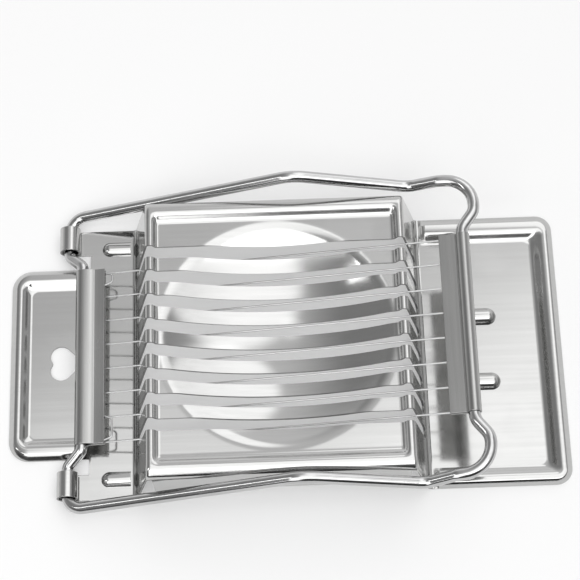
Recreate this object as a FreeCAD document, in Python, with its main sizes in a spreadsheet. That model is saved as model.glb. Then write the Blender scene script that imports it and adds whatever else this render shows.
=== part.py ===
import FreeCAD, Part
import math
import os
import re

import Sketcher

# Egg slicer of pressed stainless sheet with a hinged, wire-strung cutter frame.
# Millimetres, +Z up, +X towards the handle end, origin at the bottom centre.
# The base stands on its two flat end plates. The cutter frame is drawn in its own frame,
# with the hinge axis as origin and the wires level, and is placed at the resting angle.

Vector = FreeCAD.Vector
X_AXIS = Vector(1, 0, 0)
Y_AXIS = Vector(0, 1, 0)
Z_AXIS = Vector(0, 0, 1)
WIRE_COUNT = 8
SHORTEST_RUN = 1e-6
SAME_PLACE = 1e-4

# Driving sizes: alias, millimetres or degrees, meaning
DRIVING_SIZES = [
    ("sheet_thickness", 0.5, "pressed sheet of the base"),
    ("tab_width", 49.8, "narrow tab at the hinge end, across"),
    ("tab_corner_radius", 5.0, "outer corners of the tab"),
    ("tab_rim_past_hinge", 0.6, "end of the tab's rim, past the hinge axis"),
    ("plate_corner_radius", 4.0, "outer corners of the handle end plate"),
    ("handle_plate_length", 33.5, "handle end plate, along"),
    ("rim_height", 2.2, "top of the raised rims above the table"),
    ("tab_rim_land", 2.6, "tab rim from its outer edge to its inner slope"),
    ("plate_rim_land", 3.4, "handle plate rim from its outer edge to its inner slope"),
    ("rim_slope_run", 2.6, "inner slope of the rims, seen from above"),
    ("rim_edge_radius", 0.45, "rounding of the rims' outer edges"),
    ("deck_from_hinge", 5.0, "hinge axis to the hinge-side edge of the deck"),
    ("deck_rib_raise", 1.1, "stiffening ribs of the deck above its top"),
    ("deck_rib_setback", 3.6, "hinge-side edge of the deck to the deck ribs"),
    ("deck_rib_inset", 4.6, "deck ribs from the long edge of the base"),
    ("rest_rib_raise", 1.55, "ribs under the handle bar above the plate's top"),
    ("rest_rib_length", 5.6, "ribs under the handle bar between end centres"),
    ("rest_rib_before_bar", 0.6, "first end centre of those ribs before the handle bar's roll"),
    ("rest_rib_spacing", 17.0, "distance between the two ribs under the handle bar"),
    ("heart_square", 5.2, "side of the square that the heart-shaped hole is drawn from"),
    ("heart_setback", 14.3, "hinge end of the base to the middle of that square"),
    ("hinge_setback", 14.6, "hinge end of the base to the hinge axis"),
    ("hinge_to_bed", 20.2, "hinge axis to the top edge of the egg bed"),
    ("bed_length", 63.0, "egg bed along its rim"),
    ("bed_height", 18.0, "top of the bed's rim above the table"),
    ("bed_wall_run", 3.8, "lean of the bed's slotted end walls"),
    ("bed_foot_length", 1.0, "flat foot of the bed's end walls"),
    ("bed_bend_radius", 1.2, "outside bend of the bed's end walls"),
    ("bed_side_depth", 11.0, "turned-down long sides of the bed"),
    ("rim_land_along", 1.7, "bed rim from its end edge to its inner slope"),
    ("rim_land_across", 3.2, "bed rim from its long edge to its inner slope"),
    ("recess_depth", 1.4, "bed panel below its rim"),
    ("recess_run_along", 0.9, "inner slope of the bed rim at the ends"),
    ("recess_run_across", 2.6, "inner slope of the bed rim at the long sides"),
    ("dip_margin", 0.4, "panel left round the round dip"),
    ("dip_depth", 7.0, "round dip below the bed panel"),
    ("slot_width", 3.0, "slots that let the wires pass"),
    ("slot_foot", 2.4, "lower end of the slots in the end walls"),
    ("wire_pitch", 6.28, "distance between the wires, and between the slots"),
    ("wire_diameter", 0.45, "cutting wire"),
    ("wire_level", 0.6, "wires above the hinge axis when level"),
    ("wire_clearance", 0.08, "play between the wire and the bars"),
    ("wire_bend_radius", 0.4, "bends of the wire at the bars"),
    ("rod_diameter", 2.5, "round rod of the cutter frame"),
    ("rod_gap", 1.7, "side rods from the long edge of the base"),
    ("bar_sheet", 0.45, "sheet of the wire bars"),
    ("bar_bore_play", 0.05, "play of the rod in the wire bars"),
    ("bar_end_margin", 0.7, "bar beyond the outermost wire"),
    ("bar_reach", 5.7, "roll centre of a bar to its flange edge"),
    ("hole_inset", 0.85, "wire holes from the flange edge"),
    ("lace_room", 0.35, "slit between a flange's two layers, past the wire holes"),
    ("hinge_bar_offset", 3.9, "hinge axis to the roll of the hinge bar"),
    ("handle_bar_past_bed", 15.4, "egg bed to the roll of the handle bar"),
    ("jog_span", 6.1, "hinge bar end to the ear, across"),
    ("jog_lead", 1.25, "straight line of the rod kept past the hinge bar and before the ear"),
    ("ear_width", 6.45, "rolled ear along the hinge axis"),
    ("ear_clearance", 0.8, "play of the rod in its rolled ears"),
    ("ear_slit", 0.5, "gap where the rolled ear stops short of its strap"),
    ("apex_along", 59.1, "top of the side rods' arch from the hinge axis"),
    ("apex_rise", 12.3, "top of the side rods' arch above the hinge axis"),
    ("apex_radius", 9.0, "bend at the top of the arch"),
    ("kink_before_bar", 12.7, "low kink of the side rods before the handle bar"),
    ("kink_drop", 0.95, "low kink of the side rods below the hinge axis"),
    ("kink_radius", 5.0, "bend at the kink"),
    ("rise_lead", 1.4, "level line of the rod kept before the handle loop"),
    ("rise_radius", 4.0, "bend where the rod levels out before the handle loop"),
    ("loop_past_bar", 3.3, "handle loop beyond the handle bar's roll"),
    ("loop_radius", 7.0, "corners of the handle loop"),
    ("neck_radius", 4.0, "bends where the loop runs into the handle bar"),
    ("neck_lead", 1.6, "straight line of the rod kept at both ends of that run"),
    ("jog_radius", 2.2, "bends of the jog beside the hinge bar"),
    ("resting_angle", 9.1, "frame raised from level"),
    ("tail_reach", 4.6, "tied wire end along the bar"),
    ("tail_overhang", 1.9, "tied wire end beyond the flange edge"),
    ("tail_curl", 1.9, "tied wire end across the next wire"),
    ("tail_radius", 0.9, "bends of the tied wire end"),
]

# Sizes that follow from the driving ones: alias, formula, meaning
DERIVED_SIZES = [
    ("rod_radius", "rod_diameter / 2", "round rod"),
    ("wire_radius", "wire_diameter / 2", "cutting wire"),
    ("bar_half", f"{WIRE_COUNT - 1} * wire_pitch / 2 + bar_end_margin", "half length of a wire bar"),
    ("ear_inner", "bar_half + jog_span", "inner end of an ear from the middle"),
    ("base_half", "ear_inner + ear_width", "half width of the base"),
    ("rod_half", "base_half + rod_gap + rod_radius", "side rods from the middle"),
    ("bed_from_end", "hinge_setback + hinge_to_bed", "hinge end of the base to the bed's top edge"),
    ("plate_from_end", "bed_from_end + bed_length + bed_wall_run + bed_foot_length",
     "hinge end of the base to the handle end plate"),
    ("base_half_length", "(plate_from_end + handle_plate_length) / 2", "half length of the base"),
    ("hinge_x", "hinge_setback - base_half_length", "hinge axis"),
    ("hinge_z", "sheet_thickness + ear_clearance + rod_radius", "hinge axis"),
    ("deck_x", "hinge_x + deck_from_hinge", "hinge-side edge of the deck"),
    ("tab_rim_x", "hinge_x + tab_rim_past_hinge", "end of the tab's rim"),
    ("bed_start_x", "bed_from_end - base_half_length", "bed's top edge, hinge side"),
    ("bed_end_x", "bed_start_x + bed_length", "bed's top edge, handle side"),
    ("bed_middle_x", "bed_start_x + bed_length / 2", "middle of the bed"),
    ("foot_start_x", "bed_start_x - bed_wall_run", "foot of the hinge-side wall"),
    ("foot_end_x", "bed_end_x + bed_wall_run", "foot of the handle-side wall"),
    ("deck_end_x", "foot_start_x - bed_foot_length", "deck meets the bed"),
    ("plate_start_x", "foot_end_x + bed_foot_length", "handle end plate meets the bed"),
    ("window_along", "bed_length / 2 - rim_land_along", "half size of the bed's rim opening"),
    ("window_across", "base_half - rim_land_across", "half size of the bed's rim opening"),
    ("panel_along", "window_along - recess_run_along", "half size of the bed panel"),
    ("panel_across", "window_across - recess_run_across", "half size of the bed panel"),
    ("panel_z", "bed_height - recess_depth", "top of the bed panel"),
    ("dip_radius", "min(panel_along; panel_across) - dip_margin", "round dip at the panel"),
    ("dip_ball", "(dip_radius ^ 2 + dip_depth ^ 2) / (2 * dip_depth)", "ball that the dip is part of"),
    ("dip_ball_z", "panel_z - dip_depth + dip_ball", "centre of that ball"),
    ("deck_rib_radius", "deck_rib_raise + sheet_thickness", "deck rib's round section"),
    ("rest_rib_radius", "rest_rib_raise + sheet_thickness", "rest rib's round section"),
    ("bar_radius", "rod_radius + bar_bore_play + bar_sheet", "outside of a bar's roll"),
    ("lace_half", "wire_radius + wire_clearance", "half height of the slit between a flange's two layers"),
    ("flange_half", "bar_sheet + lace_half", "half thickness of a bar's double flange"),
    ("bar_level", "wire_level + lace_half + flange_half", "bars above the hinge axis"),
    ("lace_level", "bar_level - wire_bend_radius", "where a span of wire ends and a return begins"),
    ("slit_depth", "hole_inset + lace_half + lace_room", "slit from the flange edge"),
    ("handle_bar_along", "hinge_to_bed + bed_length + handle_bar_past_bed", "roll of the handle bar"),
    ("hinge_hole_along", "hinge_bar_offset + bar_reach - hole_inset", "wire holes of the hinge bar"),
    ("handle_hole_along", "handle_bar_along - bar_reach + hole_inset", "wire holes of the handle bar"),
    ("kink_along", "handle_bar_along - kink_before_bar", "kink of the side rods"),
    ("loop_along", "handle_bar_along + loop_past_bar", "outermost run of the handle loop"),
]

ALIASES = {row[0] for row in DRIVING_SIZES + DERIVED_SIZES}

doc = FreeCAD.newDocument("egg_slicer")
nodes = []


def make_sheet():
    """Fill the spreadsheet with the driving sizes and the sizes worked out from them."""
    sheet = doc.addObject("Spreadsheet::Sheet", "Sizes")
    row = 0
    for alias, size, meaning in DRIVING_SIZES:
        row += 1
        sheet.set(f"A{row}", meaning)
        sheet.set(f"B{row}", str(size))
        sheet.setAlias(f"B{row}", alias)
    for alias, formula, meaning in DERIVED_SIZES:
        row += 1
        sheet.set(f"A{row}", meaning)
        sheet.set(f"B{row}", "=" + formula)
        sheet.setAlias(f"B{row}", alias)
    doc.recompute()
    return sheet


sizes = make_sheet()


def on_sheet(formula):
    """Return the formula with each alias written as a reference to the sheet."""
    return re.sub(r"[a-z_]+", lambda word: "Sizes." + word[0] if word[0] in ALIASES else word[0], formula)


def number(formula):
    """Return the present value of a formula of sheet sizes."""
    return float(sizes.evalExpression(on_sheet(formula)))


def bind(thing, **formulas):
    """Bind properties of a document object to formulas of sheet sizes."""
    for name, formula in formulas.items():
        thing.setExpression(name, on_sheet(formula))


def place(thing, x="0", y="0", z="0", axis=None, angle="0"):
    """Bind the place, and any turn about an axis, of a document object."""
    if axis is not None:
        thing.Placement = FreeCAD.Placement(Vector(), FreeCAD.Rotation(axis, number(angle)))
        thing.setExpression("Placement.Rotation.Angle", on_sheet(angle))
    for letter, formula in (("x", x), ("y", y), ("z", z)):
        thing.setExpression("Placement.Base." + letter, on_sheet(formula))
    return thing


def place_on_hinge(thing):
    """Set a piece of the cutter frame on the hinge axis at the resting angle."""
    return place(thing, "hinge_x", "0", "hinge_z", -Y_AXIS, "resting_angle")


def keep(thing, label):
    """Name a finished sub-part and list it for writing."""
    thing.Label = label
    nodes.append(thing)
    return thing


def box(name, x, y, z, length, width, height):
    """Make a box from its lowest corner and its sizes."""
    solid = doc.addObject("Part::Box", name)
    bind(solid, Length=length, Width=width, Height=height)
    return place(solid, x, y, z)


def rod_along_y(name, x, z, radius, half_length):
    """Make a cylinder along Y, centred on the middle plane."""
    solid = doc.addObject("Part::Cylinder", name)
    bind(solid, Radius=radius, Height=f"2 * ({half_length})")
    return place(solid, x, f"-({half_length})", z, X_AXIS, "-90")


def ball(name, x, y, z, radius):
    """Make a whole ball."""
    solid = doc.addObject("Part::Sphere", name)
    bind(solid, Radius=radius)
    return place(solid, x, y, z)


def tapered_block(name, x, low_z, high_z, low_half, high_half):
    """Make a block whose half sizes along and across change from its bottom to its top."""
    solid = doc.addObject("Part::Wedge", name)
    bind(
        solid,
        Xmin=f"-({low_half[0]})", Xmax=low_half[0], Zmin=f"-({low_half[1]})", Zmax=low_half[1],
        X2min=f"-({high_half[0]})", X2max=high_half[0], Z2min=f"-({high_half[1]})", Z2max=high_half[1],
        Ymin=low_z, Ymax=high_z,
    )
    return place(solid, x, "0", "0", X_AXIS, "90")


def join(name, pieces):
    """Fuse pieces into one."""
    fused = doc.addObject("Part::MultiFuse", name)
    fused.Shapes = pieces
    return fused


def cut(name, base, tool):
    """Cut one piece out of another."""
    left = doc.addObject("Part::Cut", name)
    left.Base = base
    left.Tool = tool
    return left


def common(name, first, second):
    """Keep what two pieces share."""
    shared = doc.addObject("Part::MultiCommon", name)
    shared.Shapes = [first, second]
    return shared


def mirrored(name, source):
    """Mirror a piece to the near side of the middle plane."""
    copy = doc.addObject("Part::Mirroring", name)
    copy.Source = source
    copy.Normal = Y_AXIS
    return copy


def new_body(name):
    """Start a body and return it with its origin planes by role."""
    body = doc.addObject("PartDesign::Body", name)
    planes = {plane.Role: plane for plane in body.Origin.OriginFeatures}
    return body, planes


def polygon_sketch(body, name, plane, corners):
    """Draw a closed polygon whose corners are held by formulas of sheet sizes."""
    sketch = body.newObject("Sketcher::SketchObject", name)
    sketch.AttachmentSupport = [(plane, "")]
    sketch.MapMode = "FlatFace"
    points = [Vector(number(across), number(up), 0) for across, up in corners]
    count = len(points)
    for index in range(count):
        sketch.addGeometry(Part.LineSegment(points[index], points[(index + 1) % count]))
    for index in range(count):
        sketch.addConstraint(Sketcher.Constraint("Coincident", index, 2, (index + 1) % count, 1))
    for index, corner in enumerate(corners):
        for kind, formula, present, axis in (
            ("DistanceX", corner[0], points[index].x, -2),
            ("DistanceY", corner[1], points[index].y, -1),
        ):
            if formula == "0":
                sketch.addConstraint(Sketcher.Constraint("PointOnObject", index, 1, axis))
            else:
                held = sketch.addConstraint(Sketcher.Constraint(kind, -1, 1, index, 1, present))
                sketch.setExpression(f"Constraints[{held}]", on_sheet(formula))
    return sketch


def pad(body, name, sketch, length, side="One side"):
    """Pad a sketch by a bound length."""
    feature = body.newObject("PartDesign::Pad", name)
    feature.Profile = sketch
    feature.SideType = side
    bind(feature, Length=length)
    doc.recompute()
    return feature


def round_edges(body, name, radius, wanted):
    """Fillet the edges of the body's present tip that a test picks out."""
    tip = body.Tip
    picked = [f"Edge{index}" for index, edge in enumerate(tip.Shape.Edges, 1) if wanted(edge)]
    feature = body.newObject("PartDesign::Fillet", name)
    feature.Base = (tip, picked)
    bind(feature, Radius=radius)
    doc.recompute()
    return feature


def at(edge, **places):
    """Tell whether every end of an edge lies at the given coordinates."""
    return all(
        abs(getattr(vertex.Point, letter) - place_there) < SAME_PLACE
        for vertex in edge.Vertexes
        for letter, place_there in places.items()
    )


def upright(edge):
    """Tell whether an edge runs along Z."""
    reach = edge.BoundBox
    return reach.XLength < SAME_PLACE and reach.YLength < SAME_PLACE


def capsule(name, start_x, length, y, radius):
    """Make a round bar along X with ball ends, its axis on the table plane."""
    shaft = doc.addObject("Part::Cylinder", name + "_shaft")
    bind(shaft, Radius=radius, Height=length)
    place(shaft, start_x, y, "0", Y_AXIS, "90")
    first = ball(name + "_first_end", start_x, y, "0", radius)
    last = ball(name + "_last_end", f"{start_x} + {length}", y, "0", radius)
    return join(name, [shaft, first, last])


def with_ribs(name, plate, ribs):
    """Raise hollow ribs out of a flat plate: each rib is a start, a length, a place across and a radius."""
    raised = [plate]
    hollows = []
    for index, (start_x, length, y, radius) in enumerate(ribs, 1):
        raised.append(capsule(f"{name}_rib_{index}", start_x, length, y, radius))
        hollows.append(capsule(f"{name}_hollow_{index}", start_x, length, y, f"{radius} - sheet_thickness"))
    under = box(
        name + "_under", "-2 * base_half_length", "-2 * base_half", "-bed_height",
        "4 * base_half_length", "4 * base_half", "bed_height",
    )
    return cut(name, join(name + "_raised", raised), join(name + "_hollows", hollows + [under]))


def rounded_wire(points, radii):
    """Return a path of straight runs through the points, with each inner corner rounded."""
    edges = []
    start = points[0]
    for before, corner, after, radius in zip(points, points[1:], points[2:], radii):
        inwards = (before - corner).normalize()
        outwards = (after - corner).normalize()
        half_angle = inwards.getAngle(outwards) / 2
        reach = radius / math.tan(half_angle)
        first = corner + inwards * reach
        last = corner + outwards * reach
        to_centre = (inwards + outwards).normalize()
        middle = corner + to_centre * (radius / math.sin(half_angle) - radius)
        if first.distanceToPoint(start) > SHORTEST_RUN:
            edges.append(Part.LineSegment(start, first).toShape())
        edges.append(Part.Arc(first, middle, last).toShape())
        start = last
    if points[-1].distanceToPoint(start) > SHORTEST_RUN:
        edges.append(Part.LineSegment(start, points[-1]).toShape())
    return Part.Wire(edges)


def bent_rod(name, radius, corners, bend_radii):
    """Sweep a round section along a bent path whose corners are formulas of sheet sizes."""
    points = [Vector(*(number(formula) for formula in corner)) for corner in corners]
    path = doc.addObject("Part::Feature", name + "_path")
    path.Shape = rounded_wire(points, [number(formula) for formula in bend_radii])
    section = doc.addObject("Part::Circle", name + "_section")
    bind(section, Radius=radius)
    section.Placement = FreeCAD.Placement(
        points[0], FreeCAD.Rotation(Z_AXIS, points[1] - points[0])
    )
    rod = doc.addObject("Part::Sweep", name)
    rod.Sections = [section]
    rod.Spine = (path, [f"Edge{index + 1}" for index in range(len(path.Shape.Edges))])
    rod.Solid = True
    return rod


def wire_y(index):
    """Return the formula of a wire's place across, counted from the far side."""
    return f"{(WIRE_COUNT - 1) / 2 - index} * wire_pitch"


def rimmed_plate(name, round_x, open_x, inward, half, land, corner_radius):
    """Make a flat plate with a raised, hollow rim on three sides.

    round_x is the end with the rounded corners, open_x the end without a rim, and inward the
    direction from the first to the second, 1 or -1.
    """
    outer, planes = new_body(name + "_outer")
    outline = polygon_sketch(outer, name + "_outline", planes["XY_Plane"], [
        (round_x, f"-({half})"), (open_x, f"-({half})"), (open_x, half), (round_x, half),
    ])
    pad(outer, name + "_block", outline, "rim_height")
    round_edges(outer, name + "_corners", corner_radius,
                lambda edge: upright(edge) and at(edge, x=number(round_x)))
    round_edges(outer, name + "_edges", "rim_edge_radius",
                lambda edge: at(edge, z=number("rim_height")) and not at(edge, x=number(open_x)))

    under, planes = new_body(name + "_under_rim")
    inner_x = f"{round_x} + {inward} * sheet_thickness"
    closed_x = f"{open_x} - {inward} * sheet_thickness"
    inner_half = f"({half} - sheet_thickness)"
    outline = polygon_sketch(under, name + "_under_outline", planes["XY_Plane"], [
        (inner_x, f"-{inner_half}"), (closed_x, f"-{inner_half}"),
        (closed_x, inner_half), (inner_x, inner_half),
    ])
    pad(under, name + "_under_block", outline, "rim_height - sheet_thickness")
    round_edges(under, name + "_under_corners", f"{corner_radius} - sheet_thickness",
                lambda edge: upright(edge) and at(edge, x=number(inner_x)))

    along = f"abs({open_x} - ({round_x})) - {land}"
    across = f"{half} - {land}"
    core = tapered_block(name + "_core", open_x, "0", "rim_height", (along, across), (along, across))
    channel = cut(name + "_channel", under, core)
    recess = tapered_block(
        name + "_recess", open_x, "sheet_thickness", "rim_height",
        (f"{along} - rim_slope_run", f"{across} - rim_slope_run"), (along, across),
    )
    return cut(name + "_pressed", outer, join(name + "_hollows", [recess, channel]))


def heart_tool():
    """Make the heart that is punched through the tab: a square on its corner with two round lobes."""
    middle_x = "heart_setback - base_half_length"
    square = doc.addObject("Part::Box", "heart_tip")
    bind(square, Length="heart_square", Width="heart_square", Height="2 * rim_height")
    place(square, f"{middle_x} - heart_square / sqrt(2)", "0", "-rim_height", Z_AXIS, "-45")
    lobes = []
    for side, sign in (("far", ""), ("near", "-")):
        lobe = doc.addObject("Part::Cylinder", f"heart_lobe_{side}")
        bind(lobe, Radius="heart_square / 2", Height="2 * rim_height")
        lobe_gap = "heart_square / sqrt(8)"
        lobes.append(place(lobe, f"{middle_x} - {lobe_gap}", f"{sign}{lobe_gap}", "-rim_height"))
    return join("heart", [square] + lobes)


def make_hinge_end_plate():
    """The narrow tab with its rim and heart-shaped hole, and the wider deck with two ribs."""
    tab_half = "tab_width / 2"
    tab = rimmed_plate(
        "tab", "-base_half_length", "tab_rim_x", 1, tab_half, "tab_rim_land", "tab_corner_radius",
    )
    deck, planes = new_body("deck")
    outline = polygon_sketch(deck, "deck_outline", planes["XY_Plane"], [
        ("tab_rim_x", f"-{tab_half}"), ("deck_x", f"-{tab_half}"), ("deck_x", "-base_half"),
        ("deck_end_x", "-base_half"), ("deck_end_x", "base_half"), ("deck_x", "base_half"),
        ("deck_x", tab_half), ("tab_rim_x", tab_half),
    ])
    pad(deck, "deck_sheet", outline, "sheet_thickness")
    punched = cut("punched_hinge_end", join("tab_and_deck", [tab, deck]), heart_tool())
    rib_y = "base_half - deck_rib_inset"
    rib_start = "deck_x + deck_rib_setback + deck_rib_radius"
    rib_length = f"deck_end_x - deck_rib_radius - ({rib_start})"
    ribbed = with_ribs("hinge_end", punched, [
        (rib_start, rib_length, rib_y, "deck_rib_radius"),
        (rib_start, rib_length, f"-({rib_y})", "deck_rib_radius"),
    ])
    keep(ribbed, "hinge_end_plate")


def make_handle_end_plate():
    """The wide end plate with its rim and the two ribs that the handle bar comes down on."""
    plate = rimmed_plate(
        "handle_end", "base_half_length", "plate_start_x", -1, "base_half", "plate_rim_land",
        "plate_corner_radius",
    )
    rib_start = "hinge_x + handle_bar_along - rest_rib_before_bar"
    ribbed = with_ribs("handle_end", plate, [
        (rib_start, "rest_rib_length", "rest_rib_spacing / 2", "rest_rib_radius"),
        (rib_start, "rest_rib_length", "-rest_rib_spacing / 2", "rest_rib_radius"),
    ])
    keep(ribbed, "handle_end_plate")


def make_hat():
    """The bent sheet of the bed: two feet, two leaning end walls and the top, as one bent strip."""
    body, planes = new_body("hat")
    inside_top = "bed_height - sheet_thickness"
    profile = polygon_sketch(body, "hat_profile", planes["XZ_Plane"], [
        ("deck_end_x", "sheet_thickness"), ("foot_start_x", "sheet_thickness"),
        ("bed_start_x", "bed_height"), ("bed_end_x", "bed_height"),
        ("foot_end_x", "sheet_thickness"), ("plate_start_x", "sheet_thickness"),
        ("plate_start_x", "0"), ("foot_end_x - sheet_thickness", "0"),
        ("bed_end_x - sheet_thickness", inside_top), ("bed_start_x + sheet_thickness", inside_top),
        ("foot_start_x + sheet_thickness", "0"), ("deck_end_x", "0"),
    ])
    pad(body, "hat_sheet", profile, "2 * base_half", "Symmetric")

    def at_bend(edge, ends, z):
        return any(at(edge, x=number(x), z=number(z)) for x in ends)

    outside = ("bed_start_x", "bed_end_x")
    inside = ("bed_start_x + sheet_thickness", "bed_end_x - sheet_thickness")
    feet = ("foot_start_x", "foot_end_x")
    under_feet = ("foot_start_x + sheet_thickness", "foot_end_x - sheet_thickness")
    inner_radius = "bed_bend_radius - sheet_thickness"
    round_edges(body, "top_bends", "bed_bend_radius", lambda edge: at_bend(edge, outside, "bed_height"))
    round_edges(body, "top_bends_inside", inner_radius, lambda edge: at_bend(edge, inside, inside_top))
    round_edges(body, "foot_bends", inner_radius, lambda edge: at_bend(edge, feet, "sheet_thickness"))
    round_edges(body, "foot_bends_under", "bed_bend_radius", lambda edge: at_bend(edge, under_feet, "0"))
    return body


def make_egg_bed():
    """The raised bed: bent sheet, turned-down long sides, recessed panel, round dip and slots."""
    side_length = "bed_length - 2 * bed_bend_radius"
    side_x = "bed_start_x + bed_bend_radius"
    side_z = "bed_height - bed_side_depth"
    side_height = "bed_side_depth - sheet_thickness / 2"
    far_side = box("far_side", side_x, "base_half - sheet_thickness", side_z,
                   side_length, "sheet_thickness", side_height)
    near_side = box("near_side", side_x, "-base_half", side_z, side_length, "sheet_thickness", side_height)

    panel_half = ("panel_along", "panel_across")
    window_half = ("window_along", "window_across")
    tray = tapered_block("tray", "bed_middle_x", "panel_z - sheet_thickness",
                         "bed_height - sheet_thickness", panel_half, window_half)
    recess = tapered_block("recess", "bed_middle_x", "panel_z", "bed_height", panel_half, window_half)
    bowl = common(
        "bowl",
        ball("bowl_ball", "bed_middle_x", "0", "dip_ball_z", "dip_ball + sheet_thickness"),
        box("bowl_reach", "bed_start_x", "-base_half", "0",
            "bed_length", "2 * base_half", "panel_z - sheet_thickness / 2"),
    )
    dip = common(
        "dip",
        ball("dip_ball_inside", "bed_middle_x", "0", "dip_ball_z", "dip_ball"),
        box("dip_reach", "bed_start_x", "-base_half", "0", "bed_length", "2 * base_half", "panel_z"),
    )
    slots = [
        box(f"slot_{index + 1}", "deck_end_x", f"{wire_y(index)} - slot_width / 2", "slot_foot",
            "plate_start_x - deck_end_x", "slot_width", "bed_height")
        for index in range(WIRE_COUNT)
    ]
    sheet = join("bed_sheet", [make_hat(), far_side, near_side, tray, bowl])
    keep(cut("bed", sheet, join("bed_openings", [recess, dip] + slots)), "egg_bed")


def make_hinge_ears():
    """The two ears: straps of the deck rolled up over the rod."""
    bore = "rod_radius + ear_clearance"
    roll = doc.addObject("Part::Cylinder", "ear_roll")
    bind(roll, Radius=f"{bore} + sheet_thickness", Height="ear_width")
    place(roll, "hinge_x", "ear_inner", "hinge_z", X_AXIS, "-90")
    strap = box("ear_strap", "hinge_x", "ear_inner", "0", "deck_from_hinge", "ear_width", "sheet_thickness")
    hole = rod_along_y("ear_bore", "hinge_x", "hinge_z", bore, "rod_half")
    slit = box("ear_opening", "hinge_x", "ear_inner", "sheet_thickness",
               "deck_from_hinge", "ear_width", "ear_slit")
    far = cut("ear_far", join("ear_sheet", [roll, strap]), join("ear_gaps", [hole, slit]))
    keep(far, "hinge_ear_far")
    keep(mirrored("ear_near", far), "hinge_ear_near")


def make_frame_rods():
    """The bent rod of the cutter frame in two halves that butt inside the bars."""
    far = bent_rod("rod_far", "rod_radius", [
        ("hinge_bar_offset", "0", "bar_level"),
        ("hinge_bar_offset", "bar_half + jog_lead", "bar_level"),
        ("0", "ear_inner - jog_lead", "0"),
        ("0", "rod_half", "0"),
        ("apex_along", "rod_half", "apex_rise"),
        ("kink_along", "rod_half", "-kink_drop"),
        ("loop_along - loop_radius - rise_lead", "rod_half", "bar_level"),
        ("loop_along", "rod_half", "bar_level"),
        ("loop_along", "rod_half - loop_radius - neck_lead", "bar_level"),
        ("handle_bar_along", "bar_half + neck_lead", "bar_level"),
        ("handle_bar_along", "0", "bar_level"),
    ], [
        "jog_radius", "jog_radius", "rod_gap + rod_radius", "apex_radius", "kink_radius", "rise_radius",
        "loop_radius", "neck_radius", "neck_radius",
    ])
    keep(place_on_hinge(far), "frame_rod_far")
    keep(mirrored("rod_near", far), "frame_rod_near")


def make_wire_bar(name, along, towards, hole_along):
    """A bar of sheet rolled round the rod, with a double flange that hides the lacing in its slit.

    towards is the direction of the flange from the roll, 1 or -1. The wires come up through a row of
    holes in the flange's lower layer.
    """
    roll = rod_along_y(name + "_roll", along, "bar_level", "bar_radius", "bar_half")
    flange_x = along if towards > 0 else f"{along} - bar_reach"
    flange = box(name + "_flange", flange_x, "-bar_half", "bar_level - flange_half",
                 "bar_reach", "2 * bar_half", "2 * flange_half")
    bore = rod_along_y(name + "_bore", along, "bar_level", "rod_radius + bar_bore_play", "bar_half")
    slit_x = f"{along} + bar_reach - slit_depth" if towards > 0 else f"{along} - bar_reach - bar_sheet"
    slit = box(name + "_slit", slit_x, "-bar_half", "bar_level - lace_half",
               "slit_depth + bar_sheet", "2 * bar_half", "2 * lace_half")
    gaps = [bore, slit]
    for index in range(WIRE_COUNT):
        hole = doc.addObject("Part::Cylinder", f"{name}_hole_{index + 1}")
        bind(hole, Radius="lace_half", Height="2 * flange_half")
        gaps.append(place(hole, hole_along, wire_y(index), "bar_level - 2 * flange_half"))
    bar = cut(name + "_bar", join(name + "_sheet", [roll, flange]), join(name + "_gaps", gaps))
    keep(place_on_hinge(bar), f"{name}_wire_bar")


def make_cutting_wires():
    """The eight taut spans, each turned up at both ends into its holes in the bars."""
    for index in range(WIRE_COUNT):
        y = wire_y(index)
        span = bent_rod(f"span_{index + 1}", "wire_radius", [
            ("hinge_hole_along", y, "lace_level"),
            ("hinge_hole_along", y, "wire_level"),
            ("handle_hole_along", y, "wire_level"),
            ("handle_hole_along", y, "lace_level"),
        ], ["wire_bend_radius", "wire_bend_radius"])
        keep(place_on_hinge(span), f"cutting_wire_{index + 1}")


def make_wire_returns(name, hole_along, first_wire):
    """The short runs in a bar's slit that carry the lacing from each second wire to the next."""
    returns = []
    for index in range(first_wire, WIRE_COUNT - 1, 2):
        returns.append(bent_rod(f"{name}_return_{index + 1}", "wire_radius", [
            (hole_along, wire_y(index), "lace_level"),
            (hole_along, wire_y(index), "bar_level"),
            (hole_along, wire_y(index + 1), "bar_level"),
            (hole_along, wire_y(index + 1), "lace_level"),
        ], ["wire_bend_radius", "wire_bend_radius"]))
    row = doc.addObject("Part::Compound", name + "_returns")
    row.Links = returns
    keep(place_on_hinge(row), "wire_returns_" + name)


def make_wire_tails():
    """The two tied ends of the lacing, which come out of the hinge bar's slit over the next wire."""
    first_y = wire_y(0)
    tail_y = f"{first_y} - tail_reach"
    tail_along = "hinge_bar_offset + bar_reach + tail_overhang"
    far = bent_rod("tail_far", "wire_radius", [
        ("hinge_hole_along", first_y, "lace_level"),
        ("hinge_hole_along", first_y, "bar_level"),
        ("hinge_hole_along", tail_y, "bar_level"),
        (tail_along, tail_y, "bar_level"),
        (tail_along, f"{tail_y} - tail_curl", "bar_level"),
    ], ["wire_bend_radius", "tail_radius", "tail_radius"])
    keep(place_on_hinge(far), "wire_tail_far")
    keep(mirrored("tail_near", far), "wire_tail_near")


def write_parts():
    """Check every object and write each sub-part to its own file."""
    doc.recompute()
    for thing in doc.Objects:
        if "Invalid" in thing.State or "Error" in thing.State:
            raise ValueError(f"{thing.Label} failed: {thing.State}")
    for node in nodes:
        if node.Shape.isNull() or not node.Shape.isValid() or not node.Shape.Solids:
            raise ValueError(f"{node.Label} has no valid solid")
    os.makedirs("parts", exist_ok=True)
    for node in nodes:
        node.Shape.exportStep(f"parts/{node.Label}.step")
        print(f"{node.Label}: {len(node.Shape.Solids)} solid(s), {node.Shape.Volume:.2f} mm3")


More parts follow.
